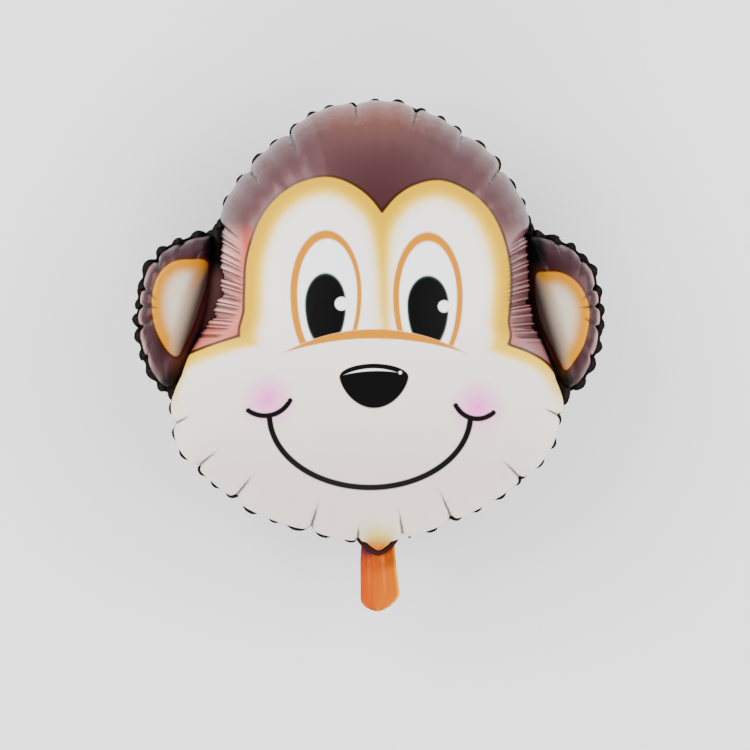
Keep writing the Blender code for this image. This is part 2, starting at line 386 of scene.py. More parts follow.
# Where the head and an ear meet, a flat web is sealed between the two pillows
HEAD_JOINS = ((-19.0, 37.0), (141.0, 197.0))
EAR_JOIN = (114.0, 275.0)
JOIN_WEB = 0.0105
HEAD_RUFFLE = 0.028
EAR_RUFFLE = 0.0225
HEAD_SEED = 11
EAR_SEED = 20


def mirrored(stretch):
    """A stretch of angles on the left side that matches one on the right."""
    return 180 - stretch[1], 180 - stretch[0]


head_seam = Seam(
    head_outline(), np.zeros(2), HEAD_SEAL, JOIN_WEB, HEAD_RUFFLE, HEAD_CREASES, HEAD_PLEATS, HEAD_JOINS,
    HEAD_SEED,
)
ear_seams = {}
for word, hand in (("right", 1), ("left", -1)):
    creases = [(angle if hand > 0 else 180 - angle, depth) for angle, depth in EAR_CREASES]
    join = EAR_JOIN if hand > 0 else mirrored(EAR_JOIN)
    ear_seams[word] = Seam(
        ear_outline(hand), ear_middle(hand), EAR_SEAL, 0.0, EAR_RUFFLE, creases, (), (join,),
        EAR_SEED + hand,
    )
print("head seam", round(head_seam.length, 3), "m with", len(head_seam.knots), "ruffles")

# %% [markdown]
# ## Film
# Each pillow half starts as a triangle mesh in two shapes. Its flat shape is the sheet before it
# is filled: every point lies as far from the middle as the path over the swollen dome is long.
# Its start shape is that dome, already on the ruffled seam. The triangles are small near the
# seam, where the film wrinkles, and larger in the smooth middle.

# %% Writing and reading a mesh's numbers
def write_attribute(mesh, name, values):
    """Stores a number or a vector for each point under a name that a material can read."""
    values = np.ascontiguousarray(values, dtype=np.float32)
    kind, field = ("FLOAT", "value") if values.ndim == 1 else ("FLOAT_VECTOR", "vector")
    mesh.attributes.new(name, kind, "POINT").data.foreach_set(field, values.ravel())


def read_attribute(mesh, name, width=1):
    """The numbers that a mesh stores under a name, one row for each point."""
    field = "value" if width == 1 else "vector"
    values = np.empty(len(mesh.vertices) * width, dtype=np.float32)
    mesh.attributes[name].data.foreach_get(field, values)
    return values if width == 1 else values.reshape(-1, width)


def read_points(mesh):
    """All points of a mesh as an array."""
    spots = np.empty(len(mesh.vertices) * 3)
    mesh.vertices.foreach_get("co", spots)
    return spots.reshape(-1, 3)


def finished_mesh(piece):
    """A piece as its modifiers leave it, as a plain mesh."""
    return bpy.data.meshes.new_from_object(piece.evaluated_get(bpy.context.evaluated_depsgraph_get()))


# %% Pattern of one half pillow
SWELL_POWER = 2.79
RIM_CELL = 0.0034
MIDDLE_CELL = 0.0075
FINE_BAND = 0.066
DOME_STEPS = 400
# How far a point strays along its ring, as a share of a cell, and up or down near the seam
RING_STRAY = 0.1
START_JITTER = 0.0005
# The share of the way out to the seam at which ruffles and creases begin
RUFFLES_FROM = 0.6
# Each half has a random seed of its own: the back's lie below this one, and the front's above it
FILM_SEED = 40
SIDE_SEEDS = 10


def dome(share):
    """The height of a gas-filled foil pillow at a share of the way from its middle to its seam."""
    return np.sqrt(np.clip(1 - np.asarray(share, dtype=float) ** SWELL_POWER, 0, 1))


def ring_points(flat_reach, flat_rim, chance):
    """Staggered rings of points, from the seam inwards, as (share of the flat reach, angle)."""
    rows, depth, ring = [], 0.0, 0
    while depth < flat_reach - MIDDLE_CELL / 2:
        cell = RIM_CELL + (MIDDLE_CELL - RIM_CELL) * min(1.0, depth / FINE_BAND)
        share = 1 - depth / flat_reach
        count = max(6, round(flat_rim * share / cell))
        for i in range(count):
            nudge = chance.uniform(-RING_STRAY, RING_STRAY) if ring else 0.0
            rows.append((share, (i + ring % 2 / 2 + nudge) * math.tau / count))
        if not ring:
            rim_count = count
        depth += cell * math.sin(math.pi / 3)
        ring += 1
    rows.append((0.0, 0.0))
    return np.array(rows), rim_count


def film_pattern(name, seam, rise, side, seed):
    """A half pillow on one side of the seam, with its flat shape as a shape key."""
    chance = random.Random(seed)
    shares = np.arange(DOME_STEPS + 1) / DOME_STEPS
    mean = seam.reaches.mean()
    steps = np.hypot(mean / DOME_STEPS, np.diff(rise * dome(shares)))
    path = np.concatenate(((0.0,), np.cumsum(steps)))
    fullness = path[-1] / mean
    rows, rim_count = ring_points(mean * fullness, seam.length * fullness, chance)
    flat_share, angle = rows.T
    share = np.interp(flat_share * path[-1], path, shares)
    reach = seam.reach(angle) * fullness * flat_share
    flat = np.stack((reach * np.cos(angle), reach * np.sin(angle)), 1)
    near = np.clip((share - RUFFLES_FROM) / (1 - RUFFLES_FROM), 0, 1)
    x, y = seam.point(angle, share, near**3)
    jitter = np.array([chance.uniform(-1, 1) for _ in share]) * START_JITTER * near
    z = rise * dome(share) + side * seam.sway(angle) * RUFFLE_HEIGHT * near**2 + jitter
    rim = [(i, (i + 1) % rim_count) for i in range(rim_count)]
    _, _, faces, sources, _, _ = delaunay_2d_cdt([Vector(p) for p in flat], rim, [], 1, 1e-6)
    pick = [source[0] for source in sources]
    mesh = bpy.data.meshes.new(name)
    mesh.from_pydata([(x[i], y[i], z[i]) for i in pick], [], [tuple(face) for face in faces])
    film = placed(name, mesh)
    film.shape_key_add(name="swollen")
    key = film.shape_key_add(name="flat")
    for point, i in zip(key.data, pick):
        point.co = (*flat[i], 0)
    write_attribute(mesh, "share", share[pick])
    around = np.stack((np.cos(angle), np.sin(angle), angle * 0), 1)[pick] * mean
    write_attribute(mesh, "around", around)
    held = film.vertex_groups.new(name="seam")
    held.add([v for v, i in enumerate(pick) if i < rim_count], 1.0, "REPLACE")
    print(name, len(mesh.vertices), "points,", len(mesh.polygons), "triangles")
    return film


# %% [markdown]
# ## Gas
# Cloth with pressure does what the gas does. The seam is pinned, gravity is off, and the rest
# lengths come from the flat shape, so the film keeps its real length along every direction and
# folds where it has too much. Stiff springs with little bending stiffness behave like foil.

# %% Inflating a half pillow
GAS_FRAMES = 26
FILM_STIFFNESS = 40.0
FILM_DAMPING = 25.0
# Settings of the cloth, by Blender's own names
FILM_SETTINGS = {
    "quality": 5, "mass": 0.05, "air_damping": 2.0, "bending_model": "ANGULAR", "bending_stiffness": 0.1,
    "vertex_group_mass": "seam", "pin_stiffness": 1.0, "use_pressure": True, "uniform_pressure_force": 150.0,
}


def inflate(film):
    """Runs the cloth simulation and returns its last shape as a plain mesh object."""
    cloth = film.modifiers.new("gas", "CLOTH")
    settings = cloth.settings
    for name, value in FILM_SETTINGS.items():
        setattr(settings, name, value)
    for pull in ("tension", "compression", "shear"):
        setattr(settings, f"{pull}_stiffness", FILM_STIFFNESS)
        setattr(settings, f"{pull}_damping", FILM_DAMPING)
    settings.rest_shape_key = film.data.shape_keys.key_blocks["flat"]
    settings.effector_weights.gravity = 0
    cloth.collision_settings.use_collision = False
    cloth.collision_settings.use_self_collision = False
    cloth.point_cache.frame_end = GAS_FRAMES
    scene = bpy.context.scene
    last = GAS_FRAMES
    for number in range(1, last + 1):
        scene.frame_set(number)
    made = placed(film.name + "_swollen", finished_mesh(film))
    scene.frame_set(1)
    bpy.data.objects.remove(film)
    return made


# %% [markdown]
# ## Two sheets
# A sheet is the head's half pillow and the two ears' half pillows, joined into one mesh. The
# simulated dome is scaled to the solid's height. On the back it is pressed flat where the
# balloon lies on the floor. One level of subdivision rounds the small triangles. The sharpest
# folds are finer than the cloth's threads, so they are pressed in afterwards.

# %% Front and back sheets
HEAD_RISE = 0.133
EAR_RISE = 0.036
PRESSED_DEPTH = 0.0018
PRESS_BLEND = 0.0006


def place_film(half, rise, side):
    """Scales a swollen half to its rise and moves it to its side of the seam."""
    spots = read_points(half.data)
    spots[:, 2] *= np.where(spots[:, 2] > 0, rise / spots[:, 2].max(), 1.0)
    spots[:, 0] += HEAD_MIDDLE.x
    spots[:, 1] += HEAD_MIDDLE.y
    if side < 0:
        spots[:, 2] = BACK_REST - PRESS_BLEND * np.logaddexp(0, (BACK_REST - spots[:, 2]) / PRESS_BLEND)
        half.data.flip_normals()
    spots[:, 2] = SEAM_LEVEL + side * spots[:, 2]
    half.data.vertices.foreach_set("co", spots.ravel())
    half.data.update()


def tidy_mesh(piece, levels=1):
    """Turns a piece and its subdivision into one plain smooth mesh."""
    smooth = piece.modifiers.new("smooth", "SUBSURF")
    smooth.levels = levels
    smooth.render_levels = levels
    mesh = finished_mesh(piece)
    piece.modifiers.clear()
    piece.data = mesh
    mesh.shade_smooth()


# A crease runs in from the seam by so many times its depth at the seam
CREASE_RUN = 6.5
CREASE_FOLD = 0.0024
CREASE_SPREAD = 0.0028
PLEAT_STEP = 0.0074
PLEAT_FOLD = 0.0012
PLEAT_RUN = 0.037
# How fast the pleats fade inwards, and over how many degrees at the two ends of their stretch
PLEAT_FADE = 2.2
PLEAT_BLEND = 3.0
# Uneven spacing of the pleats: (part of a pleat, waves for each metre, in radians)
PLEAT_DRIFT = ((0.25, 240), (0.15, 610))


def pleat_strength(mesh, seam):
    """How much the pleats beside the ears show at each point, from 0 to 1."""
    share, around = read_attribute(mesh, "share"), read_attribute(mesh, "around", 3)
    angle = np.arctan2(around[:, 1], around[:, 0])
    inward = (1 - share) * seam.reach(angle)
    fade = np.clip(PLEAT_FADE * (1 - inward / PLEAT_RUN), 0, 1)
    return seam.within(angle, seam.pleated, PLEAT_BLEND) * fade


def refine_pleats(half, seam):
    """Cuts the triangles beside the ears in four, so that they can carry the close pleats."""
    shown = pleat_strength(half.data, seam) > 0
    form = bmesh.new()
    form.from_mesh(half.data)
    edges = [edge for edge in form.edges if all(shown[vert.index] for vert in edge.verts)]
    bmesh.ops.subdivide_edges(form, edges=edges, cuts=1, use_grid_fill=True)
    form.to_mesh(half.data)
    form.free()


def fold_film(half, seam):
    """Presses the main creases and the pleats beside the ears into a swollen half.

    It also stores, for the material, how far each point is from a crease and how much the crease
    and the pleats still show there.
    """
    mesh = half.data
    spots = read_points(mesh)
    share, around = read_attribute(mesh, "share"), read_attribute(mesh, "around", 3)
    normals = np.empty(len(mesh.vertices) * 3, dtype=np.float32)
    mesh.vertex_normals.foreach_get("vector", normals)
    angle = np.arctan2(around[:, 1], around[:, 0])
    inward = (1 - share) * seam.reach(angle)
    off, depth = seam.nearest_crease(angle)
    off *= share
    creased = np.clip(1 - inward / (CREASE_RUN * depth), 0, 1)
    top = seam.along[SEAM_SAMPLES // 4]
    place = (np.interp(angle % math.tau, seam.angles, seam.along) - top) % seam.length
    turn = place / PLEAT_STEP + sum(part * np.sin(place * waves) for part, waves in PLEAT_DRIFT)
    pleated = pleat_strength(mesh, seam)
    lift = -CREASE_FOLD * np.exp(-((off / CREASE_SPREAD) ** 2)) * creased
    lift += PLEAT_FOLD * np.sin(turn * math.tau) * pleated
    spots += normals.reshape(-1, 3) * lift[:, None]
    mesh.vertices.foreach_set("co", spots.ravel())
    folds = {"crease_off": off, "creased": creased, "pleat_turn": turn, "pleated": pleated}
    for name, values in folds.items():
        write_attribute(mesh, name, values)
    mesh.update()


def joined(name, pieces):
    """One object made of several, at the origin."""
    with bpy.context.temp_override(
        active_object=pieces[0], selected_objects=pieces, selected_editable_objects=pieces
    ):
        bpy.ops.object.join()
    pieces[0].name = name
    return pieces[0]


def make_sheet(name, side):
    """One whole sheet: side is 1 for the front and -1 for the back."""
    halves = []
    head_top = FRONT_RISE if side > 0 else BACK_REST + PRESSED_DEPTH
    parts = [("head", head_seam, HEAD_RISE, head_top)]
    parts += [(f"ear_{word}", seam, EAR_RISE, EAR_RISE) for word, seam in ear_seams.items()]
    for number, (word, seam, rise, final) in enumerate(parts):
        seed = FILM_SEED + number + SIDE_SEEDS * side
        half = inflate(film_pattern(f"{name}_{word}", seam, rise, side, seed))
        place_film(half, final, side)
        if seam.pleated:
            refine_pleats(half, seam)
        tidy_mesh(half)
        fold_film(half, seam)
        write_attribute(half.data, "ear", np.full(len(half.data.vertices), float(number > 0)))
        halves.append(half)
    sheet = joined(name, halves)
    print(name, len(sheet.data.polygons) * 2, "triangles")
    return sheet


front_film = make_sheet("front_film", 1)
back_film = make_sheet("back_film", -1)

# %% [markdown]
# ## Neck
# Under the chin the two sheets run on as a short tongue, which narrows to a point over the
# filling tail. It holds a little gas, so it is a small puffed lobe with a few gathers. It is a
# grid of points placed by a formula, one half for each sheet.

# %% The two halves of the neck
NECK_TOP = y_at(508)
NECK_SHOULDER = y_at(534)
NECK_TIP = y_at(550.5)
NECK_PIXEL = 378.5
NECK_MIDDLE = x_at(NECK_PIXEL)
NECK_HALF_WIDTH = 0.0195
NECK_PUFF = 0.0125
NECK_LIFT = 0.0030
NECK_GATHER = 0.0009
# Two waves across the neck whose product gives its gathers: (waves, shift), in radians
NECK_WAVES = ((11, 1.3), (4, 0.0))
# Powers that round the neck: its sides by its length, and its rise by its width and its length
NECK_SIDES = (1.5, 0.8)
NECK_ARCH = 0.6
NECK_DROP = (1.8, 0.8)
NECK_GRID = (40, 40)
# What the crinkles read on the neck: a share near the seam, no crease anywhere near, and softer
# wrinkles along its length
NECK_SHARE = 0.95
NECK_CREASE_OFF = CREASE_WIDTH * 5
NECK_AROUND = (1.0, 0.3, 1.0)


def neck_line(along):
    """The neck's height in the picture and half width, from 0 at its top to 1 at its tip."""
    y = NECK_TOP + (NECK_TIP - NECK_TOP) * along
    taper = max(0.0, (NECK_SHOULDER - y) / (NECK_SHOULDER - NECK_TIP))
    return y, NECK_HALF_WIDTH * (1 - taper ** NECK_SIDES[0]) ** NECK_SIDES[1]


def neck_rise(along, across):
    """How high the neck's film lies over its flat middle: across runs from -1 to 1."""
    arch, drop = (1 - across**2) ** NECK_ARCH, (1 - along ** NECK_DROP[0]) ** NECK_DROP[1]
    first, second = (math.sin(waves * across + shift) for waves, shift in NECK_WAVES)
    return NECK_PUFF * arch * drop + NECK_GATHER * first * second * along * (1 - across**2)


def grid_faces(columns, rows, up):
    """The faces of a grid of points, row by row, that look up or down."""
    faces = []
    for j in range(rows):
        for i in range(columns):
            a = j * (columns + 1) + i
            corners = (a, a + columns + 1, a + columns + 2, a + 1)
            faces.append(corners if up else corners[::-1])
    return faces


def neck_half(name, side):
    """One sheet's half of the neck, as a grid between its two edges."""
    columns, rows = NECK_GRID
    points = []
    for j in range(rows + 1):
        along = j / rows
        y, half_width = neck_line(along)
        for i in range(columns + 1):
            across = 2 * i / columns - 1
            level = SEAM_LEVEL + side * (NECK_LIFT + neck_rise(along, across))
            points.append((NECK_MIDDLE + across * half_width, y, level))
    mesh = bpy.data.meshes.new(name)
    mesh.from_pydata(points, [], grid_faces(columns, rows, side > 0))
    write_attribute(mesh, "share", np.full(len(points), NECK_SHARE))
    write_attribute(mesh, "crease_off", np.full(len(points), NECK_CREASE_OFF))
    write_attribute(mesh, "around", np.array(points) * NECK_AROUND)
    mesh.shade_smooth()
    return placed(name, mesh)


front_film = joined("front_film", [front_film, neck_half("front_neck", 1)])
back_film = joined("back_film", [back_film, neck_half("back_neck", -1)])

# %% [markdown]
# ## Nodes in few words
# Blender's node trees, for shapes and for materials, are built here in the script. In plain code a
# node takes a line to add, and one more for each value and link. This class adds a node with all
# of its inputs in one line, and has short names for the sums that the trees use most.

# %% Short ways to add nodes
class Nodes:
    """Adds nodes to a tree, one line each: an input given as a socket is linked, else it is set."""

    def __init__(self, tree):
        self.tree = tree

    def add(self, kind, output, inputs, **settings):
        node = self.tree.nodes.new(kind)
        for name, value in settings.items():
            setattr(node, name, value)
        for key, value in inputs.items():
            self.feed(node.inputs[key], value)
        return node.outputs[output]

    def feed(self, socket, value):
        if isinstance(value, bpy.types.NodeSocket):
            self.tree.links.new(value, socket)
        else:
            socket.default_value = value

    def math(self, operation, *values, **settings):
        return self.add("ShaderNodeMath", 0, dict(enumerate(values)), operation=operation, **settings)

    def times(self, product, *others):
        for other in others:
            product = self.math("MULTIPLY", product, other)
        return product

    def plus(self, first, second):
        return self.math("ADD", first, second)

    def minus(self, first, second):
        return self.math("SUBTRACT", first, second)

    def over(self, first, second):
        return self.math("DIVIDE", first, second)

    def rest(self, value):
        """What a share leaves of 1."""
        return self.math("SUBTRACT", 1.0, value)

    def size(self, value):
        return self.math("ABSOLUTE", value)

    def power(self, base, exponent):
        return self.math("POWER", base, exponent)

    def length(self, x, y):
        """How long a line is that runs x across and y up."""
        return self.math("SQRT", self.plus(self.times(x, x), self.times(y, y)))

    def vector(self, operation, *values, output="Vector"):
        return self.add("ShaderNodeVectorMath", output, dict(enumerate(values)), operation=operation)

    def distance(self, first, second):
        return self.vector("DISTANCE", first, second, output="Value")

    def split(self, vector):
        node = self.tree.nodes.new("ShaderNodeSeparateXYZ")
        self.feed(node.inputs[0], vector)
        return node.outputs

    def number(self, name):
        return self.add("ShaderNodeAttribute", "Fac", {}, attribute_name=name)

    def place(self, name):
        return self.add("ShaderNodeAttribute", "Vector", {}, attribute_name=name)

    def own_place(self):
        return self.add("ShaderNodeTexCoord", "Object", {})

    def step(self, value, low, high):
        """Rises smoothly from 0 at low to 1 at high, or falls where low is the larger."""
        if low > high:
            return self.rest(self.step(value, high, low))
        ends = {"Value": value, "From Min": low, "From Max": high}
        return self.add("ShaderNodeMapRange", "Result", ends, interpolation_type="SMOOTHSTEP")

    def fade(self, value, ends):
        """A step whose two ends are pixels of the photograph."""
        return self.step(value, metres(ends[0]), metres(ends[1]))

    def blend(self, amount, first, second):
        return self.add("ShaderNodeMix", 2, {0: amount, 6: first, 7: second}, data_type="RGBA")

    def ramp(self, value, stops):
        """Colours by value: stops are (value, colour) pairs in rising order."""
        low, high = stops[0][0], stops[-1][0]
        share = self.add("ShaderNodeMapRange", "Result", {"Value": value, "From Min": low, "From Max": high})
        node = self.tree.nodes.new("ShaderNodeValToRGB")
        self.feed(node.inputs[0], share)
        while len(node.color_ramp.elements) < len(stops):
            node.color_ramp.elements.new(0.5)
        for element, (place, colour) in zip(node.color_ramp.elements, stops):
            element.position = (place - low) / (high - low)
            element.color = colour
        return node.outputs[0]

    def bands(self, value, stops):
        """Colours by value, where the stops are in pixels of the photograph."""
        return self.ramp(value, [(metres(pixels), paint) for pixels, paint in stops])

    def noise(self, vector, scale, detail=2.0, distortion=0.0):
        inputs = {"Vector": vector, "Scale": scale, "Detail": detail, "Distortion": distortion}
        return self.add("ShaderNodeTexNoise", "Fac", inputs)

    def group(self, tree, inputs):
        return self.add("ShaderNodeGroup", 0, inputs, node_tree=tree)


def new_group(name, inputs, output, tree_kind="ShaderNodeTree", output_kind="Float"):
    """An empty node group; inputs are (name, kind) pairs, and it has one output."""
    tree = bpy.data.node_groups.new(name, tree_kind)
    for title, kind in inputs:
        tree.interface.new_socket(title, in_out="INPUT", socket_type=f"NodeSocket{kind}")
    tree.interface.new_socket(output, in_out="OUTPUT", socket_type=f"NodeSocket{output_kind}")
    given = tree.nodes.new("NodeGroupInput").outputs
    result = tree.nodes.new("NodeGroupOutput").inputs[output]
    return Nodes(tree), given, result


def floats(*names):
    """Number inputs for a group."""
    return [(name, "Float") for name in names]


def vectors(*names):
    """Vector inputs for a group."""
    return [(name, "Vector") for name in names]


# %% [markdown]
# ## Sealed margin
# Outside the seam the two films are one flat black strip. It sways with the ruffles and is widest
# where a ruffle swings up, so it shows as a row of rounded scallops round the ears and as thin
# dashes round the head. The script draws the seam as curves, whose radius and tilt say how wide
# the strip is and how far it leans. A Geometry Nodes tree sweeps a thin flat profile along them.
# The profile is drawn for a strip one unit wide, because a curve's radius scales it.

# %% Paths of the margin
HEAD_STRIP = 0.0040
EAR_STRIP = 0.0085
NECK_STRIP = 0.0080
# How far the web's strip runs on under the head's film, and how far a strip leans on a ruffle
WEB_TUCK = 0.006
LEAN = 0.3
# Stretches of each seam that have a margin, in degrees: the head's leave out the neck
HEAD_MARGIN = (-79.5, 266.0)
EAR_MARGIN = (-88.0, 118.0)
MARGIN_TURN = 0.5
# How much of a ruffle's swing the film hides, and the least and most that shows of a strip
HEAD_HIDDEN, EAR_HIDDEN = 0.9, 0.0
HEAD_LEAST, EAR_LEAST = 0.01, 0.16
MOST_SHOWN = 1.1
# The neck's strip starts half way down, and its width goes from the left edge round to the right
NECK_MARGIN_FROM = 0.5
NECK_MARGIN_STEPS = 24
NECK_WIDTHS = ((-1, 0.9), (-0.6, 1), (0, 0.75), (0.6, 0.75), (1, 0.6))


def seam_stretch(seam, ends, strip, hidden, least, joins=0):
    """Points, widths and leans of the margin along one stretch of a seam.

    Each ruffle that swings up shows as a rounded scallop. The rest folds away under the film,
    as far as hidden says, down to the least share of the strip. Where joins is 1 it fills the web.
    """
    angles = np.radians(np.arange(*ends, MARGIN_TURN))
    joined_here = joins * seam.within(angles, HEAD_JOINS, JOIN_BLEND)
    x, y = seam.point(angles, 1.0, 1 - joined_here)
    sway = seam.sway(angles)
    places = np.stack((x + HEAD_MIDDLE.x, y + HEAD_MIDDLE.y, SEAM_LEVEL + sway * RUFFLE_HEIGHT), 1)
    widths = strip * np.sqrt(np.clip((sway + 1 - hidden) / (2 - hidden), least, MOST_SHOWN))
    widths = np.maximum(widths, (JOIN_WEB + WEB_TUCK) * np.sqrt(joined_here))
    return places, widths, sway * LEAN


def neck_stretch(side):
    """The margin along the neck's two edges, which meet at its tip."""
    places = []
    for hand in (-1, 1):
        for along in np.linspace(NECK_MARGIN_FROM, 1, NECK_MARGIN_STEPS)[::-hand]:
            y, half_width = neck_line(along)
            places.append((NECK_MIDDLE + hand * half_width, y, SEAM_LEVEL + side * NECK_LIFT))
    shares = np.interp(np.linspace(-1, 1, len(places)), *zip(*NECK_WIDTHS))
    return np.array(places), NECK_STRIP * shares, np.zeros(len(places))


def margin_paths():
    """One curve object with a spline for every stretch, whose radius is the strip's width."""
    curve = bpy.data.curves.new("margin_paths", "CURVE")
    curve.dimensions = "3D"
    stretches = [seam_stretch(head_seam, HEAD_MARGIN, HEAD_STRIP, HEAD_HIDDEN, HEAD_LEAST, 1)]
    for word, ends in (("right", EAR_MARGIN), ("left", mirrored(EAR_MARGIN))):
        stretches.append(seam_stretch(ear_seams[word], ends, EAR_STRIP, EAR_HIDDEN, EAR_LEAST))
    stretches += [neck_stretch(1), neck_stretch(-1)]
    for places, widths, leans in stretches:
        spline = curve.splines.new("POLY")
        spline.points.add(len(places) - 1)
        spline.points.foreach_set("co", np.insert(places, 3, 1.0, axis=1).ravel())
        spline.points.foreach_set("radius", widths)
        spline.points.foreach_set("tilt", leans)
    return placed("margin_paths", curve)


# %% A tree that sweeps a flat strip along curves
def margin_tree():
    """Geometry Nodes: resample the paths, sweep a thin strip that lies outside them, paint it."""
    sizes = floats("Step", "Width", "Thickness", "Inset")
    inputs = [("Geometry", "Geometry"), *sizes, ("Material", "Material")]
    n, given, result = new_group("sealed_margin", inputs, "Geometry", "GeometryNodeTree", "Geometry")
    pace = {"Curve": given["Geometry"], "Length": given["Step"]}
    path = n.add("GeometryNodeResampleCurve", "Curve", pace, mode="LENGTH")
    upright = n.add("GeometryNodeSetCurveNormal", "Curve", {"Curve": path}, mode="Z_UP")
    full = n.plus(given["Width"], given["Inset"])
    sides = {"Width": full, "Height": given["Thickness"]}
    strip = n.add("GeometryNodeCurvePrimitiveQuadrilateral", "Curve", sides)
    middle = n.minus(n.times(full, 0.5), given["Inset"])
    shift = n.add("ShaderNodeCombineXYZ", "Vector", {"X": middle})
    profile = n.add("GeometryNodeTransform", "Geometry", {"Geometry": strip, "Translation": shift})
    width = n.add("GeometryNodeInputRadius", "Radius", {})
    swept = n.add("GeometryNodeCurveToMesh", "Mesh", {
        "Curve": upright, "Profile Curve": profile, "Scale": width, "Fill Caps": True,
    })
    real = n.add("GeometryNodeRealizeInstances", "Geometry", {"Geometry": swept})
    painted = n.add("GeometryNodeSetMaterial", "Geometry", {"Geometry": real, "Material": given["Material"]})
    n.feed(result, painted)
    return n.tree


def grown(paths, tree, values):
    """Runs a tree on an object with the given inputs and returns the result as a plain mesh object."""
    grow = paths.modifiers.new("grow", "NODES")
    grow.node_group = tree
    sockets = {item.name: item.identifier for item in tree.interface.items_tree if item.in_out == "INPUT"}
    for name, value in values.items():
        grow[sockets[name]] = value
    mesh = finished_mesh(paths)
    bpy.data.objects.remove(paths)
    return placed(tree.name, mesh)


# The strip's sizes: the step along it in metres, and the others as shares of its width. Its inset
# is the part that lies under the film.
MARGIN_SIZES = {"Step": 0.0012, "Width": 1.0, "Thickness": 0.07, "Inset": 0.36}

black_film = bpy.data.materials.new("black_film")
margin = grown(margin_paths(), margin_tree(), {**MARGIN_SIZES, "Material": black_film})
print("margin", len(margin.data.polygons), "faces")

# %% [markdown]
# ## Filling tail
# The tail is a flat sleeve of the same film. It is wider than it is thick by far, a little
# puffed, with soft lengthwise folds and a rounded end that leans to one side. A closed ring of
# points is swept down its length between its two edges, and the last ring shrinks to close the
# end. Its root is pressed thin, because it lies between the two sheets.

# %% The tail
# The tail's left and right edges in the photograph's pixels, from the top down
TAIL_LEFT = (
    (531, 362), (560, 360.3), (598, 360.5), (603, 361.8), (607, 365.5), (609.7, 370.5),
    (611.4, 377),
)
TAIL_RIGHT = (
    (531, 393), (547, 395), (565, 396.2), (580, 398.2), (591, 399.6), (596, 399.2), (601, 396),
    (606, 391), (609.5, 385.5), (611.4, 380),
)
TAIL_PUFF = 0.0023
ROOT_PUFF = 0.0009
ROOT_LENGTH = 0.038
TAIL_RINGS = 80
TAIL_SIDES = 64
# Rings lie closer towards the end, and the sleeve is thinner where it is narrower than this
TAIL_CROWDING = 1.5
FULL_WIDTH = 0.03
# Lengthwise folds: (height, waves across, waves along, shift)
TAIL_FOLDS = ((0.0010, 7.5, 2.1, 0.4), (0.0006, 16, -3, 0))
# The whole tail's bend, which is one long wave, and how far its end leans sideways
BEND_RISE, BEND_WAVES, BEND_SHIFT = 0.0016, 3.1, 0.3
TAIL_TWIST = 0.0012
# The power that squares the sleeve's cross-section: 1 would leave it an oval
TAIL_EDGE_POWER = 0.7


def tail_edge(rows, y_pixel):
    """Where an edge of the tail is at a height of the photograph, in metres."""
    heights, reaches = zip(*rows)
    return x_at(np.interp(y_pixel, heights, reaches))


def tail_ring(along):
    """One ring of the sleeve, as a list of points: along runs from 0 at the top to 1 at the end."""
    top, end = TAIL_LEFT[0][0], TAIL_LEFT[-1][0]
    y_pixel = top + (end - top) * (1 - (1 - along) ** TAIL_CROWDING)
    left, right = tail_edge(TAIL_LEFT, y_pixel), tail_edge(TAIL_RIGHT, y_pixel)
    y = y_at(y_pixel)
    free = min(1.0, metres(y_pixel - top) / ROOT_LENGTH) ** 2
    puff = (ROOT_PUFF + (TAIL_PUFF - ROOT_PUFF) * free) * min(1.0, (right - left) / FULL_WIDTH)
    ring = []
    for i in range(TAIL_SIDES):
        turn = math.tau * i / TAIL_SIDES
        across, up = math.cos(turn), math.sin(turn)
        fold = sum(rise * math.sin(a * across + b * along + shift) for rise, a, b, shift in TAIL_FOLDS)
        bend = BEND_RISE * math.sin(BEND_WAVES * along + BEND_SHIFT) - TAIL_TWIST * across * along
        round_up = math.copysign(abs(up) ** TAIL_EDGE_POWER, up)
        level = SEAM_LEVEL + puff * round_up + (fold + bend) * free
        ring.append(((left + right) / 2 + (right - left) / 2 * across, y, level))
    return ring


def make_tail():
    """The closed sleeve, with its ends capped."""
    rings = [tail_ring(j / TAIL_RINGS) for j in range(TAIL_RINGS)]
    points = [point for ring in rings for point in ring]
    end = rings[-1][0][1]
    edges = [min(ring[0][0] - x, y - end) for ring in rings for x, y, _ in ring]
    faces = [tuple(range(TAIL_SIDES)), tuple(reversed(range(len(points) - TAIL_SIDES, len(points))))]
    for j in range(TAIL_RINGS - 1):
        for i in range(TAIL_SIDES):
            a, b = j * TAIL_SIDES + i, j * TAIL_SIDES + (i + 1) % TAIL_SIDES
            faces.append((a, a + TAIL_SIDES, b + TAIL_SIDES, b))
    mesh = bpy.data.meshes.new("tail_sleeve")
    mesh.from_pydata(points, [], faces)
    write_attribute(mesh, "tail_edge", edges)
    mesh.shade_smooth()
    return placed("tail_sleeve", mesh)


tail = make_tail()

# %% [markdown]
# ## Print map
# The photograph shows the print on the swollen film. So every point of the front sheet gets the
# place where that view would draw it, in metres at the seam's height: points nearer the camera
# spread out from the middle of the view. The free shapes, which are the face and the ear
# patches, are closed curves, and each point also stores how far inside them it lies.

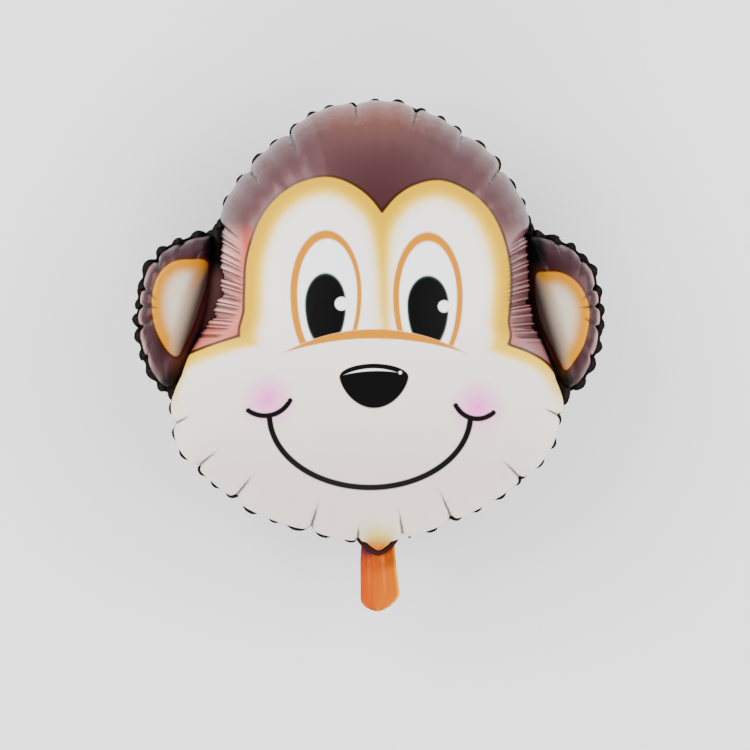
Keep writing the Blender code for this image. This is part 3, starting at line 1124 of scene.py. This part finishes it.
# %% Outlines of the printed shapes, in the photograph's pixels
LEFT_LOBE = (
    (244, 346), (245, 310), (245.5, 288), (247, 262), (253, 238), (262, 217), (276, 199),
    (296, 184.5), (320, 177.5), (338, 179), (354, 186), (367, 195.5), (376, 205.5), (383, 217),
    (390, 240), (396, 300), (390, 360), (300, 400),
)
RIGHT_LOBE = (
    (381, 217), (389, 205), (398, 195.5), (412, 186.5), (430, 181), (446, 181.5), (464, 189),
    (480, 200), (493, 216), (503, 238), (509, 264), (510, 290), (507.5, 320), (504.5, 348),
    (450, 400), (380, 360), (372, 300), (374, 240),
)
MUZZLE = (
    (168, 400), (170, 382), (180, 361), (205, 348.5), (244, 336), (280, 330), (372, 322),
    (470, 332), (506, 345), (530, 354), (548, 366), (561, 386), (572, 420), (566, 480), (500, 560),
    (372, 590), (240, 560), (168, 480), (158, 430),
)
LEFT_PATCH = (
    (207, 262), (190, 259.5), (173, 262), (160, 273), (153.5, 289), (152, 307), (155, 326),
    (162, 342), (170, 353), (178, 356), (184, 345), (192, 328), (200, 305), (206, 285),
)
RIGHT_PATCH = (
    (536, 275), (546, 272), (560, 272.5), (573, 279), (583, 291), (589, 308), (588, 328),
    (583, 346), (574, 361), (566, 370), (560, 362), (552, 345), (542, 325), (536, 300),
)


# %% Where each point lies in the print
PRINT_STEPS = 6
# Farther than any point of the print is from any outline, in metres
FAR_AWAY = 9.0


def printed_loop(corners):
    """A smooth closed curve through pixels of the photograph, in metres."""
    return smooth_loop([on_print(*corner) for corner in corners], PRINT_STEPS)


def inside_by(points, loop):
    """How far each point lies inside a closed curve, in metres."""
    loop = loop.astype(np.float32)
    ahead = np.roll(loop, -1, axis=0)
    nearest = np.full(len(points), FAR_AWAY, dtype=np.float32)
    inside = np.zeros(len(points), dtype=bool)
    for start, end in zip(loop, ahead):
        step = end - start
        off = points - start
        t = np.clip(off @ step / (step @ step), 0, 1)
        nearest = np.minimum(nearest, np.hypot(*(off - t[:, None] * step).T))
        if start[1] != end[1]:
            crosses = (start[1] > points[:, 1]) != (end[1] > points[:, 1])
            inside ^= crosses & (off[:, 0] < step[0] * off[:, 1] / step[1])
    return np.where(inside, nearest, -nearest)


def print_places(mesh):
    """Where the photograph's view draws each point, in metres from the head's middle."""
    spots = read_points(mesh)
    centre = np.array(VIEW_CENTRE)
    spread = VIEW_HEIGHT / (VIEW_HEIGHT - (spots[:, 2] - SEAM_LEVEL))
    seen = centre + (spots[:, :2] - centre) * spread[:, None]
    return (seen - np.array(HEAD_MIDDLE)).astype(np.float32)


def map_print(sheet):
    """Writes the print's attributes on the front sheet."""
    places = print_places(sheet.data)
    write_attribute(sheet.data, "print", np.insert(places, 2, 0.0, axis=1))
    left_lobe, right_lobe, muzzle, left_patch, right_patch = (
        inside_by(places, printed_loop(corners))
        for corners in (LEFT_LOBE, RIGHT_LOBE, MUZZLE, LEFT_PATCH, RIGHT_PATCH)
    )
    write_attribute(sheet.data, "face_inside", np.maximum(np.maximum(left_lobe, right_lobe), muzzle))
    write_attribute(sheet.data, "patch_inside", np.maximum(left_patch, right_patch))
    write_attribute(sheet.data, "head_inside", inside_by(places, head_outline()))


map_print(front_film)
print("print mapped on", len(front_film.data.vertices), "points")

# %% [markdown]
# ## Ink and film
# All the looks are drawn by shader nodes. Small groups give the print's shapes as distances from
# their edges, and one group turns a distance into a clean inked edge. Another makes the fine
# wrinkles of the film, which run out towards the seam. Each of them is used many times over.

# %% Shapes that a printer's pen would draw
def egg_group():
    """Distance outside an egg: an oval with its own height above and below its widest place."""
    inputs = vectors("Print", "Middle") + floats("Half Width", "Rise", "Drop", "Power Below")
    n, given, result = new_group("printed_egg", inputs, "Distance")
    x, y, _ = n.split(n.vector("SUBTRACT", given["Print"], given["Middle"]))
    across = n.power(n.size(n.over(x, given["Half Width"])), 2.0)
    above = n.power(n.over(n.math("MAXIMUM", y, 0.0), given["Rise"]), 2.0)
    sunk = n.math("MAXIMUM", n.times(y, -1.0), 0.0)
    below = n.power(n.over(sunk, given["Drop"]), given["Power Below"])
    far = n.math("SQRT", n.plus(across, n.plus(above, below)))
    n.feed(result, n.times(n.minus(far, 1.0), given["Half Width"]))
    return n.tree


def crescent_group():
    """Distance outside the sliver that lies within one circle and outside another."""
    inputs = vectors("Print", "Within", "Without") + floats("Within Radius", "Without Radius")
    n, given, result = new_group("printed_crescent", inputs, "Distance")
    within = n.minus(n.distance(given["Print"], given["Within"]), given["Within Radius"])
    without = n.minus(given["Without Radius"], n.distance(given["Print"], given["Without"]))
    n.feed(result, n.math("MAXIMUM", within, without))
    return n.tree


def arc_group():
    """Distance from a pen line along the lower part of an oval, between two ends, with round ends."""
    inputs = vectors("Print", "Middle", "Left End", "Right End") + floats("Half Width", "Half Height", "Pen")
    n, given, result = new_group("printed_arc", inputs, "Distance")
    place, left, right = given["Print"], given["Left End"], given["Right End"]
    off = n.split(n.vector("SUBTRACT", place, given["Middle"]))
    x, y = n.over(off[0], given["Half Width"]), n.over(off[1], given["Half Height"])
    far = n.length(x, y)
    slope = n.length(n.over(x, given["Half Width"]), n.over(y, given["Half Height"]))
    line = n.size(n.over(n.times(far, n.minus(far, 1.0)), slope))
    chord = n.vector("SUBTRACT", right, left)
    turn = n.split(n.vector("CROSS_PRODUCT", chord, n.vector("SUBTRACT", place, left)))[2]
    below = n.math("LESS_THAN", turn, 0.0)
    ends = n.math("MINIMUM", n.distance(place, left), n.distance(place, right))
    nearest = n.plus(ends, n.times(n.minus(line, ends), below))
    n.feed(result, n.minus(nearest, n.times(given["Pen"], 0.5)))
    return n.tree


def ink_group():
    """Turns a distance into ink: 1 inside, 0 outside, over a soft edge as wide as Blur."""
    n, given, result = new_group("ink_edge", floats("Distance", "Blur"), "Mask")
    share = n.over(given["Distance"], given["Blur"])
    n.feed(result, n.math("SUBTRACT", 0.5, share, use_clamp=True))
    return n.tree


# Noise of the wrinkles: (how many to the metre, detail, distortion), and the finest one's part
FAN_NOISE = (110.0, 2.0, 0.4)
FINE_NOISE = (290.0, 1.0)
FINE_PART = 0.4
WAVE_NOISE = (26.0, 2.0, 0.3)
# The shares of the way to the seam between which the fans grow to their full height
FANS_FROM = (0.66, 0.9)
# How strong a crease and the pleats have to be for their folds to show in full
CREASES_SHOWN = 0.6
PLEATS_SHOWN = 0.7


def crinkle_group():
    """Height of the film's fine wrinkles: fans that run out to the seam, and slight waves elsewhere."""
    inputs = vectors("Place", "Around") + floats("Share", "Fans", "Waves")
    n, given, result = new_group("film_crinkle", inputs, "Height")
    fine = n.times(n.noise(given["Around"], *FINE_NOISE), FINE_PART)
    fans = n.plus(n.noise(given["Around"], *FAN_NOISE), fine)
    near = n.step(given["Share"], *FANS_FROM)
    waves = n.times(n.noise(given["Place"], *WAVE_NOISE), given["Waves"])
    n.feed(result, n.plus(n.times(fans, near, given["Fans"]), waves))
    return n.tree


def fold_group():
    """How deep a point lies in a main crease, or between two pleats beside the ears."""
    inputs = floats("Off", "Creased", "Width", "Turn", "Pleated")
    n, given, result = new_group("film_folds", inputs, "Depth")
    near = n.over(given["Off"], given["Width"])
    groove = n.power(math.e, n.times(near, near, -1.0))
    groove = n.times(groove, n.step(given["Creased"], 0.0, CREASES_SHOWN))
    # A pleat's valley lies a quarter of a turn before its start
    wave = n.math("COSINE", n.times(n.plus(given["Turn"], 0.25), math.tau))
    pleat = n.times(n.plus(wave, 1.0), 0.5)
    pleat = n.times(pleat, pleat, n.step(given["Pleated"], 0.0, PLEATS_SHOWN))
    n.feed(result, n.math("MAXIMUM", groove, pleat))
    return n.tree


EGG, CRESCENT, ARC, INK = egg_group(), crescent_group(), arc_group(), ink_group()
CRINKLE, FOLDS = crinkle_group(), fold_group()
print("shader groups:", ", ".join(tree.name for tree in (EGG, CRESCENT, ARC, INK, CRINKLE, FOLDS)))

# %% [markdown]
# ## The printed face
# The front sheet is brown film with a pale face printed on it: two lobes over the eyes that run
# into a broad muzzle, a yellow glow inside their edge, oval eyes with an orange rim, a nose and a
# smile. Each shape is drawn from its place and size in the photograph. Later shapes cover
# earlier ones, as inks do.

# %% Places and sizes of the print, in the photograph's pixels
# Eggs are (middle, half width, rise, drop)
EYE_RIMS = (((325.9, 293), 35.8, 63, 75), ((427.9, 296), 35, 64, 73))
EYE_WHITES = (((327.2, 293), 29.8, 54, 68), ((428, 296), 28.8, 54.5, 68))
PUPILS = (((325.5, 304), 19.2, 29, 41), ((428, 305), 19.4, 27.5, 42))
GLINTS = (((341.6, 303.7), 6.7, 6.7, 6.7), ((444.1, 306.4), 6, 6, 6), ((400.3, 372.6), 1.5, 1.5, 1.5))
NOSE = ((374, 377), 34.8, 13.4, 31.5)
NOSE_POWER = 1.5
BLUSHES = (((267.7, 399.8), 14, 14, 14), ((477.8, 406.7), 14, 14, 14))
BLUSH_BLUR = 34
# Crescents are (middle and radius of the circle they lie in, and of the one they lie outside)
MUZZLE_ARC = ((374.4, 515.9), 186.7, (374.4, 632.3), 293.7)
NOSE_SHINE = ((373.6, 437.6), 69.1, (377.1, 512.4), 141.7)
# Pen lines are (middle, half width, half height, left end, right end, pen)
SMILE = ((370, 415), 100.5, 72.5, (269.6, 419), (470.2, 421), 6.2)
DIMPLES = (
    ((264.8, 387.5), 28.3, 28.3, (248.4, 410.5), (290.1, 400.6), 5.5),
    ((477.3, 395), 23.8, 23.8, (455.9, 405.5), (493.3, 412.7), 5.5),
)
PUPIL_EDGE = 1.5
FACE_LINE = 2.8
INK_BLUR = 1.4
SHINE_BLUR = 1.0


def sRGB(red, green, blue):
    """A colour as the eye reads it from 0 to 255, as the linear colour a shader takes."""
    parts = [(c / 255 / 12.92) if c <= 10 else ((c / 255 + 0.055) / 1.055) ** 2.4 for c in (red, green, blue)]
    return (*parts, 1.0)


# %% Paints
# Most are darker and stronger than the printed colour looks, because bright light makes them paler
BROWN = sRGB(76, 40, 44)
# Painted shade in the film's creases and pleats
FOLD_SHADE_BROWN = sRGB(42, 26, 26)
# Painted reflections on the flanks beside the ears and along the ears' outer edges
CORAL_REFLECTION = sRGB(206, 74, 46)
ROSE_REFLECTION = sRGB(252, 204, 196)
MAUVE_REFLECTION = sRGB(150, 104, 104)
EAR_BROWN = sRGB(52, 24, 30)
# A painted warm reflection at the top of the head
WARM_REFLECTION_BROWN = sRGB(112, 58, 44)
# Painted shade on the webs between the head and the ears
WEB_SHADE_BROWN = sRGB(112, 74, 74)
LINE_BROWN = sRGB(62, 22, 2)
CREAM = sRGB(250, 246, 240)
BEIGE = sRGB(216, 202, 192)
OLIVE = sRGB(200, 184, 92)
TAN = sRGB(196, 108, 10)
YELLOW = sRGB(208, 160, 0)
PALE_YELLOW = sRGB(252, 208, 40)
ORANGE = sRGB(194, 122, 0)
BLACK = sRGB(8, 8, 8)
SLATE = sRGB(36, 54, 47)
WHITE = sRGB(252, 252, 252)
PINK = sRGB(252, 66, 210)
EAR_YELLOW = sRGB(186, 122, 0)
EAR_GREY = sRGB(204, 190, 172)
EAR_SHADE = sRGB(72, 60, 56)
AMBER = sRGB(180, 62, 0)
BRIGHT_AMBER = sRGB(190, 92, 0)
# Painted shade under the neck, on the tail
RED_SHADE = sRGB(124, 26, 8)
PURPLE_SHADE = sRGB(58, 26, 52)
NECK_BROWN = sRGB(42, 16, 15)


# %% Drawing with the groups
def spot(pixel):
    """A pixel of the photograph as a vector in the print."""
    return (*on_print(*pixel), 0.0)


def egg(n, where, shape, power=2.0):
    middle, width, rise, drop = shape
    return n.group(EGG, {
        "Print": where, "Middle": spot(middle), "Half Width": metres(width), "Rise": metres(rise),
        "Drop": metres(drop), "Power Below": power,
    })


def crescent(n, where, shape):
    within, radius, without, other = shape
    return n.group(CRESCENT, {
        "Print": where, "Within": spot(within), "Within Radius": metres(radius),
        "Without": spot(without), "Without Radius": metres(other),
    })


def arc(n, where, shape):
    middle, width, height, left, right, pen = shape
    return n.group(ARC, {
        "Print": where, "Middle": spot(middle), "Half Width": metres(width), "Half Height": metres(height),
        "Left End": spot(left), "Right End": spot(right), "Pen": metres(pen),
    })


def ink(n, distance, blur=INK_BLUR):
    return n.group(INK, {"Distance": distance, "Blur": metres(blur)})


# %% The face's and the ears' printed colours, and the painted shade on the ears' patches
# Bands are (pixels, paint) from the head's middle. A pair of pixels says where something fades,
# from none to full.
FACE_BANDS = ((-130, BEIGE), (40, CREAM))
CHIN_BANDS = ((-213, TAN), (-207, TAN), (-194, OLIVE))
CHIN_SIDES, CHIN_TOP = (24, 6), (-176, -198)
# The yellow glow grows wider and deeper from the cheeks up to the eyes, and ends at the mouth
GLOW_CHEEK, GLOW_EYE = (-100, -10), (-12, 12)
GLOW_WIDTH, GLOW_GROWTH = 18, 10
PALE_GLOW, DEEP_GLOW = (1.0, 0.35), (0.75, 0.15)
CHEEK_DEPTH, EYE_DEPTH = 0.45, 0.55
BLUSH_STRENGTH = 0.95
# The ear patch and its painted shade towards the head, by how far out a point lies from the head's middle
# line, which leans
EAR_BANDS = ((183, EAR_SHADE), (203, EAR_GREY), (215, EAR_GREY))
PATCH_SHIFT, PATCH_LEAN = 3, 0.31
# Its yellow edge runs round both ends, as if bowed: middle of the bow, and its bend for each pixel
BOW_MIDDLE, BOW_BEND = 18, 0.0042
EAR_EDGE_IN, EAR_EDGE_OUT = (21, 5), (190, 204)


def face_print(n, where, face, x, y):
    """The face's own colours: cream, glow, eyes, nose and smile, and the tint under the chin."""
    off = n.size(n.minus(x, on_print(NECK_PIXEL, 0)[0]))
    tinted = n.times(n.fade(off, CHIN_SIDES), n.fade(y, CHIN_TOP))
    colour = n.blend(tinted, n.bands(y, FACE_BANDS), n.bands(y, CHIN_BANDS))
    high, low = n.fade(y, GLOW_EYE), n.fade(y, GLOW_CHEEK)
    share = n.over(face, n.plus(metres(GLOW_WIDTH), n.times(high, metres(GLOW_GROWTH))))
    colour = n.blend(n.times(n.step(share, *PALE_GLOW), low), colour, PALE_YELLOW)
    deepness = n.plus(CHEEK_DEPTH, n.times(high, EYE_DEPTH))
    colour = n.blend(n.times(n.step(share, *DEEP_GLOW), deepness, low), colour, YELLOW)
    for shape in BLUSHES:
        blush = n.times(ink(n, egg(n, where, shape), BLUSH_BLUR), BLUSH_STRENGTH)
        colour = n.blend(blush, colour, PINK)
    # The muzzle covers the lower ends of the eyes
    muzzle = n.minus(n.distance(where, spot(MUZZLE_ARC[0])), metres(MUZZLE_ARC[1]))
    above = n.rest(ink(n, muzzle))
    for shapes, paint in ((EYE_RIMS, ORANGE), (EYE_WHITES, WHITE)):
        for shape in shapes:
            colour = n.blend(n.times(ink(n, egg(n, where, shape)), above), colour, paint)
    for shape in PUPILS:
        pupil = egg(n, where, shape)
        edge = n.minus(pupil, metres(PUPIL_EDGE))
        colour = n.blend(n.times(ink(n, edge), above), colour, SLATE)
        colour = n.blend(n.times(ink(n, pupil), above), colour, BLACK)
    colour = n.blend(ink(n, crescent(n, where, MUZZLE_ARC)), colour, ORANGE)
    colour = n.blend(ink(n, egg(n, where, NOSE, NOSE_POWER)), colour, BLACK)
    colour = n.blend(ink(n, crescent(n, where, NOSE_SHINE), SHINE_BLUR), colour, WHITE)
    for shape in GLINTS:
        colour = n.blend(ink(n, egg(n, where, shape)), colour, WHITE)
    for shape in (SMILE, *DIMPLES):
        colour = n.blend(ink(n, arc(n, where, shape)), colour, BLACK)
    return colour


def outlined(n, inside, colour, fill):
    """A filled shape with a dark line round it, over a colour: inside is how far in a point lies."""
    outside = n.times(inside, -1.0)
    filled = ink(n, outside)
    colour = n.blend(ink(n, n.minus(outside, metres(FACE_LINE))), colour, LINE_BROWN)
    return n.blend(filled, colour, fill), filled


def ear_print_and_shade(n, x, y, patch):
    """The printed grey inside of each ear, yellow along its outer edge, with painted shade towards the head.
    """
    off = n.plus(n.size(n.plus(x, metres(PATCH_SHIFT))), n.times(y, PATCH_LEAN))
    height = n.minus(y, metres(BOW_MIDDLE))
    bowed = n.plus(off, n.times(height, height, BOW_BEND / METRES_PER_PIXEL))
    outer = n.times(n.fade(patch, EAR_EDGE_IN), n.fade(bowed, EAR_EDGE_OUT))
    return n.blend(outer, n.bands(off, EAR_BANDS), EAR_YELLOW)


# %% What the films share
FILM_GLOSS = {"Specular IOR Level": 0.05, "Coat Roughness": 0.22, "Coat IOR": 1.8}
# Width of a crease's groove, which is bumped in and darkened with painted shade, height of the wrinkles, and
# the parts of fans and waves in it
CREASE_LINE = 0.0011
CRINKLE_HEIGHT = 0.0018
FAN_PART, WAVE_PART = 0.5, 0.3
# Clouds that vary the film's gloss: the noise, and how much they add to its roughness
CLOUDS = (30.0, 3.0)
CLOUD_PART = 0.1


def film_shader(n, colour, roughness, height, bump_height, metallic, coat):
    """Wires a Principled shader for film: its own gloss, and bump from the wrinkles' height."""
    bump = n.add("ShaderNodeBump", 0, {"Height": height, "Strength": 1.0, "Distance": bump_height})
    values = {
        "Base Color": colour, "Roughness": roughness, "Normal": bump, "Metallic": metallic,
        "Coat Weight": coat, **FILM_GLOSS,
    }
    for name, value in values.items():
        n.feed(n.tree.nodes["Principled BSDF"].inputs[name], value)


def folds(n):
    """How deep each point of a sheet lies in its folds."""
    return n.group(FOLDS, {
        "Off": n.number("crease_off"), "Creased": n.number("creased"), "Width": CREASE_LINE,
        "Turn": n.number("pleat_turn"), "Pleated": n.number("pleated"),
    })


def crinkle(n, deep):
    """The height of a sheet's wrinkles and folds."""
    height = n.group(CRINKLE, {
        "Place": n.own_place(), "Around": n.place("around"), "Share": n.number("share"),
        "Fans": FAN_PART, "Waves": WAVE_PART,
    })
    return n.minus(height, deep)


def new_nodes(name):
    """A new material and its node maker."""
    material = bpy.data.materials.new(name)
    material.use_nodes = True
    return material, Nodes(material.node_tree)


# %% The front film's material
# Pairs of pixels say where painted light fades, from none to full: up or sideways from the head's middle,
# or in from the head's edge. A painted warm reflection over the brow:
BROW_UP, BROW_SIDES, BROW_STRENGTH = (185, 235), (95, 20), 0.8
# Painted reflections on the flanks beside the ears, from left to right, redder in one corner, and fainter in
# folds
FLANK_IN, FLANK_LOW, FLANK_HIGH = (5, 11), (-60, -30), (122, 88)
FLANK_REFLECTION_BANDS = ((-150, ROSE_REFLECTION), (-127, CORAL_REFLECTION), (100, CORAL_REFLECTION), (130, MAUVE_REFLECTION))
CORNER_UP, CORNER_SIDE, CORNER_STRENGTH = (42, 4), (148, 134), 0.8
FLANK_REFLECTION_STRENGTH, FLANK_FOLDS = 0.85, 0.5
# Painted shade on the ears next to the head, from their low end up
VALLEY_SHADE_IN = (-15, -5)
VALLEY_SHADE_BANDS = ((-40, BLACK), (-14, BROWN), (58, BROWN), (80, BLACK))
# A painted mauve reflection along the ears' outer edges, also by the share of the way to their seam
EDGE_LOW, EDGE_HIGH, EDGE_OUT, EDGE_SHARE = (-45, -10), (90, 55), (205, 222), (0.8, 0.95)
# How dark the painted shade in folds is, and what a flank's painted reflection takes from that shade and from
# the shine
FOLD_SHADE_STRENGTH, FLANK_SOFTENING = 0.92, 0.4
# The print is rough, and bare film smoother by this much, over an edge as wide as this
PRINT_ROUGHNESS, BARE_POLISH, BARE_BLUR = 0.4, 0.14, 6
# Bare film's metal and clear coat, and what an ear has less of the coat
BARE_METAL, BARE_COAT, EAR_DULLING = 0.5, 0.32, 0.14


def bare_film(n, x, y, ear, deep):
    """Brown film without the face, with painted reflections and painted shade, and masks of the flank and the
    ears' inner ends.
    """
    head = n.number("head_inside")
    # A painted warm reflection over the brow
    brow_reflection = n.times(n.fade(y, BROW_UP), n.fade(n.size(x), BROW_SIDES), BROW_STRENGTH)
    colour = n.blend(ear, n.blend(brow_reflection, BROWN, WARM_REFLECTION_BROWN), EAR_BROWN)
    # A painted reflection on the flanks beside the ears: pale pink, coral and mauve, fainter in the folds
    flank = n.times(n.fade(head, FLANK_IN), n.fade(y, FLANK_LOW), n.fade(y, FLANK_HIGH), n.rest(ear))
    corner = n.times(n.fade(y, CORNER_UP), n.fade(x, CORNER_SIDE), CORNER_STRENGTH)
    tint = n.blend(corner, n.bands(x, FLANK_REFLECTION_BANDS), CORAL_REFLECTION)
    shown = n.minus(FLANK_REFLECTION_STRENGTH, n.times(deep, FLANK_FOLDS))
    colour = n.blend(n.times(flank, shown), colour, tint)
    # Painted shade on the ears where they meet the head: black at the ends, brown between
    valley_shade = n.times(n.fade(head, VALLEY_SHADE_IN), ear)
    colour = n.blend(valley_shade, colour, n.bands(y, VALLEY_SHADE_BANDS))
    # A painted mauve reflection along the ears' outer edges
    outer = n.times(n.fade(y, EDGE_LOW), n.fade(y, EDGE_HIGH), ear, n.fade(n.size(x), EDGE_OUT))
    outer = n.times(outer, n.step(n.number("share"), *EDGE_SHARE))
    return n.blend(outer, colour, MAUVE_REFLECTION), flank, valley_shade


def front_material():
    """Brown film with the printed face and ear patches, and painted reflections and painted shade."""
    material, n = new_nodes("printed_front_film")
    ear, deep, where = n.number("ear"), folds(n), n.place("print")
    x, y, _ = n.split(where)
    colour, flank, valley_shade = bare_film(n, x, y, ear, deep)
    patch = n.plus(n.number("patch_inside"), n.minus(ear, 1.0))
    colour, _ = outlined(n, patch, colour, ear_print_and_shade(n, x, y, patch))
    face = n.minus(n.number("face_inside"), ear)
    colour, printed = outlined(n, face, colour, face_print(n, where, face, x, y))
    softened = n.times(flank, FLANK_SOFTENING)
    # Painted shade darkens the folds, less so under a flank's painted reflection
    colour = n.blend(n.times(deep, n.minus(FOLD_SHADE_STRENGTH, softened)), colour, FOLD_SHADE_BROWN)
    bare = n.rest(n.math("MAXIMUM", printed, ink(n, n.times(patch, -1.0), BARE_BLUR)))
    cloud = n.times(n.noise(where, *CLOUDS), CLOUD_PART)
    roughness = n.minus(n.plus(cloud, PRINT_ROUGHNESS), n.times(bare, BARE_POLISH))
    # Where the painted shade lies, the film has no metal and no coat
    metallic = n.times(bare, n.minus(BARE_METAL, softened), n.rest(valley_shade))
    coat = n.times(bare, n.minus(BARE_COAT, n.times(ear, EAR_DULLING)), n.rest(valley_shade))
    film_shader(n, colour, roughness, crinkle(n, deep), CRINKLE_HEIGHT, metallic, coat)
    return material


# %% The other materials
# How strong the painted shade in the back's folds is
BACK_FOLD_SHADE = 0.55
BACK_ROUGHNESS, BACK_METAL, BACK_COAT = 0.26, 0.5, 0.34
# The margin's black varies a little between two blacks. Its noise, and its fine cross wrinkles
MARGIN_CLOUDS, MARGIN_WRINKLES = (60.0, 2.0), (300.0, 2.0)
MARGIN_BLACK = sRGB(22, 14, 16)
MARGIN_ROUGHNESS, MARGIN_VARIATION, MARGIN_BUMP, MARGIN_COAT = 0.5, 0.15, 0.0004, 0.02
# Painted brown shade in the middle of the webs beside the head, and the brown strip at the neck, in pixels
# from the head's middle
WEB_LOW, WEB_HIGH, WEB_SIDE = (-40, -14), (80, 58), (200, 190)
NECK_FADE = (-196, -204)
# The tail: the row of the photograph where its colours are set out, and the shares of its width
# where the second colour begins and between which the painted highlight on its rim grows
TAIL_ROW = 580
BRIGHT_FROM, RIM_FROM, RIM_FULL = 0.6, 0.2, 0.7
RIM_IN = (3.6, 0.6)
# Painted red shade under the neck: rows of the photograph between which it grows, noise and strength
RED_ROWS, RED_NOISE, RED_PATCHES, RED_STRENGTH = (578, 556), (70.0, 1.0), (0.2, 0.7), 0.7
# A spot of painted purple shade beside the neck's tip
SHADE_SPOT_PIXEL, SHADE_SPOT_LIFT, SHADE_SPOT_FADE, SHADE_SPOT_STRENGTH = (368, 549), 0.001, (13, 3), 0.8
# Lengthwise streaks in its film
STREAKS, STREAK_STRETCH = (260.0, 2.0, 0.3), (1.0, 0.16, 1.0)
TAIL_ROUGHNESS, TAIL_VARIATION, TAIL_BUMP, TAIL_METAL, TAIL_COAT = 0.3, 0.16, 0.0006, 0.1, 0.04


def back_material():
    """The plain brown back, with painted shade in its folds."""
    material, n = new_nodes("brown_back_film")
    deep = folds(n)
    # Painted shade in the folds
    colour = n.blend(n.times(deep, BACK_FOLD_SHADE), BROWN, FOLD_SHADE_BROWN)
    roughness = n.plus(n.times(n.noise(n.own_place(), *CLOUDS), CLOUD_PART), BACK_ROUGHNESS)
    film_shader(n, colour, roughness, crinkle(n, deep), CRINKLE_HEIGHT, BACK_METAL, BACK_COAT)
    return material


def margin_material():
    """Black film of the sealed margin, with fine cross wrinkles from sealing, painted brown shade on the
    webs, and a brown strip at the neck.
    """
    black_film.use_nodes = True
    n = Nodes(black_film.node_tree)
    place = n.own_place()
    height = n.noise(place, *MARGIN_WRINKLES)
    x, y, _ = n.split(place)
    off, high = n.size(n.minus(x, HEAD_MIDDLE.x)), n.minus(y, HEAD_MIDDLE.y)
    colour = n.blend(n.noise(place, *MARGIN_CLOUDS), BLACK, MARGIN_BLACK)
    # Painted brown shade in the middle of each web
    web = n.times(n.fade(high, WEB_LOW), n.fade(high, WEB_HIGH), n.fade(off, WEB_SIDE))
    colour = n.blend(n.fade(high, NECK_FADE), n.blend(web, colour, WEB_SHADE_BROWN), NECK_BROWN)
    roughness = n.plus(MARGIN_ROUGHNESS, n.times(height, MARGIN_VARIATION))
    film_shader(n, colour, roughness, height, MARGIN_BUMP, 0.0, MARGIN_COAT)


def tail_material():
    """Amber film, orange on the left and brighter to the right, with a painted highlight at the edge and
    painted shade under the neck.
    """
    material, n = new_nodes("amber_tail_film")
    place = n.own_place()
    x, y, _ = n.split(place)
    left, right = tail_edge(TAIL_LEFT, TAIL_ROW), tail_edge(TAIL_RIGHT, TAIL_ROW)
    bright, rim_from, rim_full = np.interp((BRIGHT_FROM, RIM_FROM, RIM_FULL), (0, 1), (left, right))
    colour = n.ramp(x, [(left, AMBER), (bright, BRIGHT_AMBER), (right, BRIGHT_AMBER)])
    # A painted yellow highlight along the edge of the sleeve's right part
    rim = n.times(n.fade(n.number("tail_edge"), RIM_IN), n.step(x, rim_from, rim_full))
    colour = n.blend(rim, colour, YELLOW)
    # Painted red shade in patches under the neck, and a spot of painted purple shade
    patches = n.step(n.noise(place, *RED_NOISE), *RED_PATCHES)
    under = n.step(y, *(y_at(row) for row in RED_ROWS))
    colour = n.blend(n.times(under, patches, RED_STRENGTH), colour, RED_SHADE)
    shade_spot_place = (x_at(SHADE_SPOT_PIXEL[0]), y_at(SHADE_SPOT_PIXEL[1]), SEAM_LEVEL + SHADE_SPOT_LIFT)
    shade_spot = n.fade(n.distance(place, shade_spot_place), SHADE_SPOT_FADE)
    colour = n.blend(n.times(shade_spot, SHADE_SPOT_STRENGTH), colour, PURPLE_SHADE)
    streak = n.noise(n.vector("MULTIPLY", place, STREAK_STRETCH), *STREAKS)
    roughness = n.plus(TAIL_ROUGHNESS, n.times(streak, TAIL_VARIATION))
    film_shader(n, colour, roughness, streak, TAIL_BUMP, TAIL_METAL, TAIL_COAT)
    return material


def dress(piece, material):
    """Gives a piece one material."""
    piece.data.materials.clear()
    piece.data.materials.append(material)


dress(front_film, front_material())
dress(back_film, back_material())
margin_material()
dress(tail, tail_material())
print("materials:", ", ".join(m.name for m in bpy.data.materials))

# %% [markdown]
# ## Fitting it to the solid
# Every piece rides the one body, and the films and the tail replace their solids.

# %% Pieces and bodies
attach(front_film, "root")
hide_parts("front_foil")
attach(back_film, "root")
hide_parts("back_foil")
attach(margin, "root")
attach(tail, "root")
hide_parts("filling_tail")
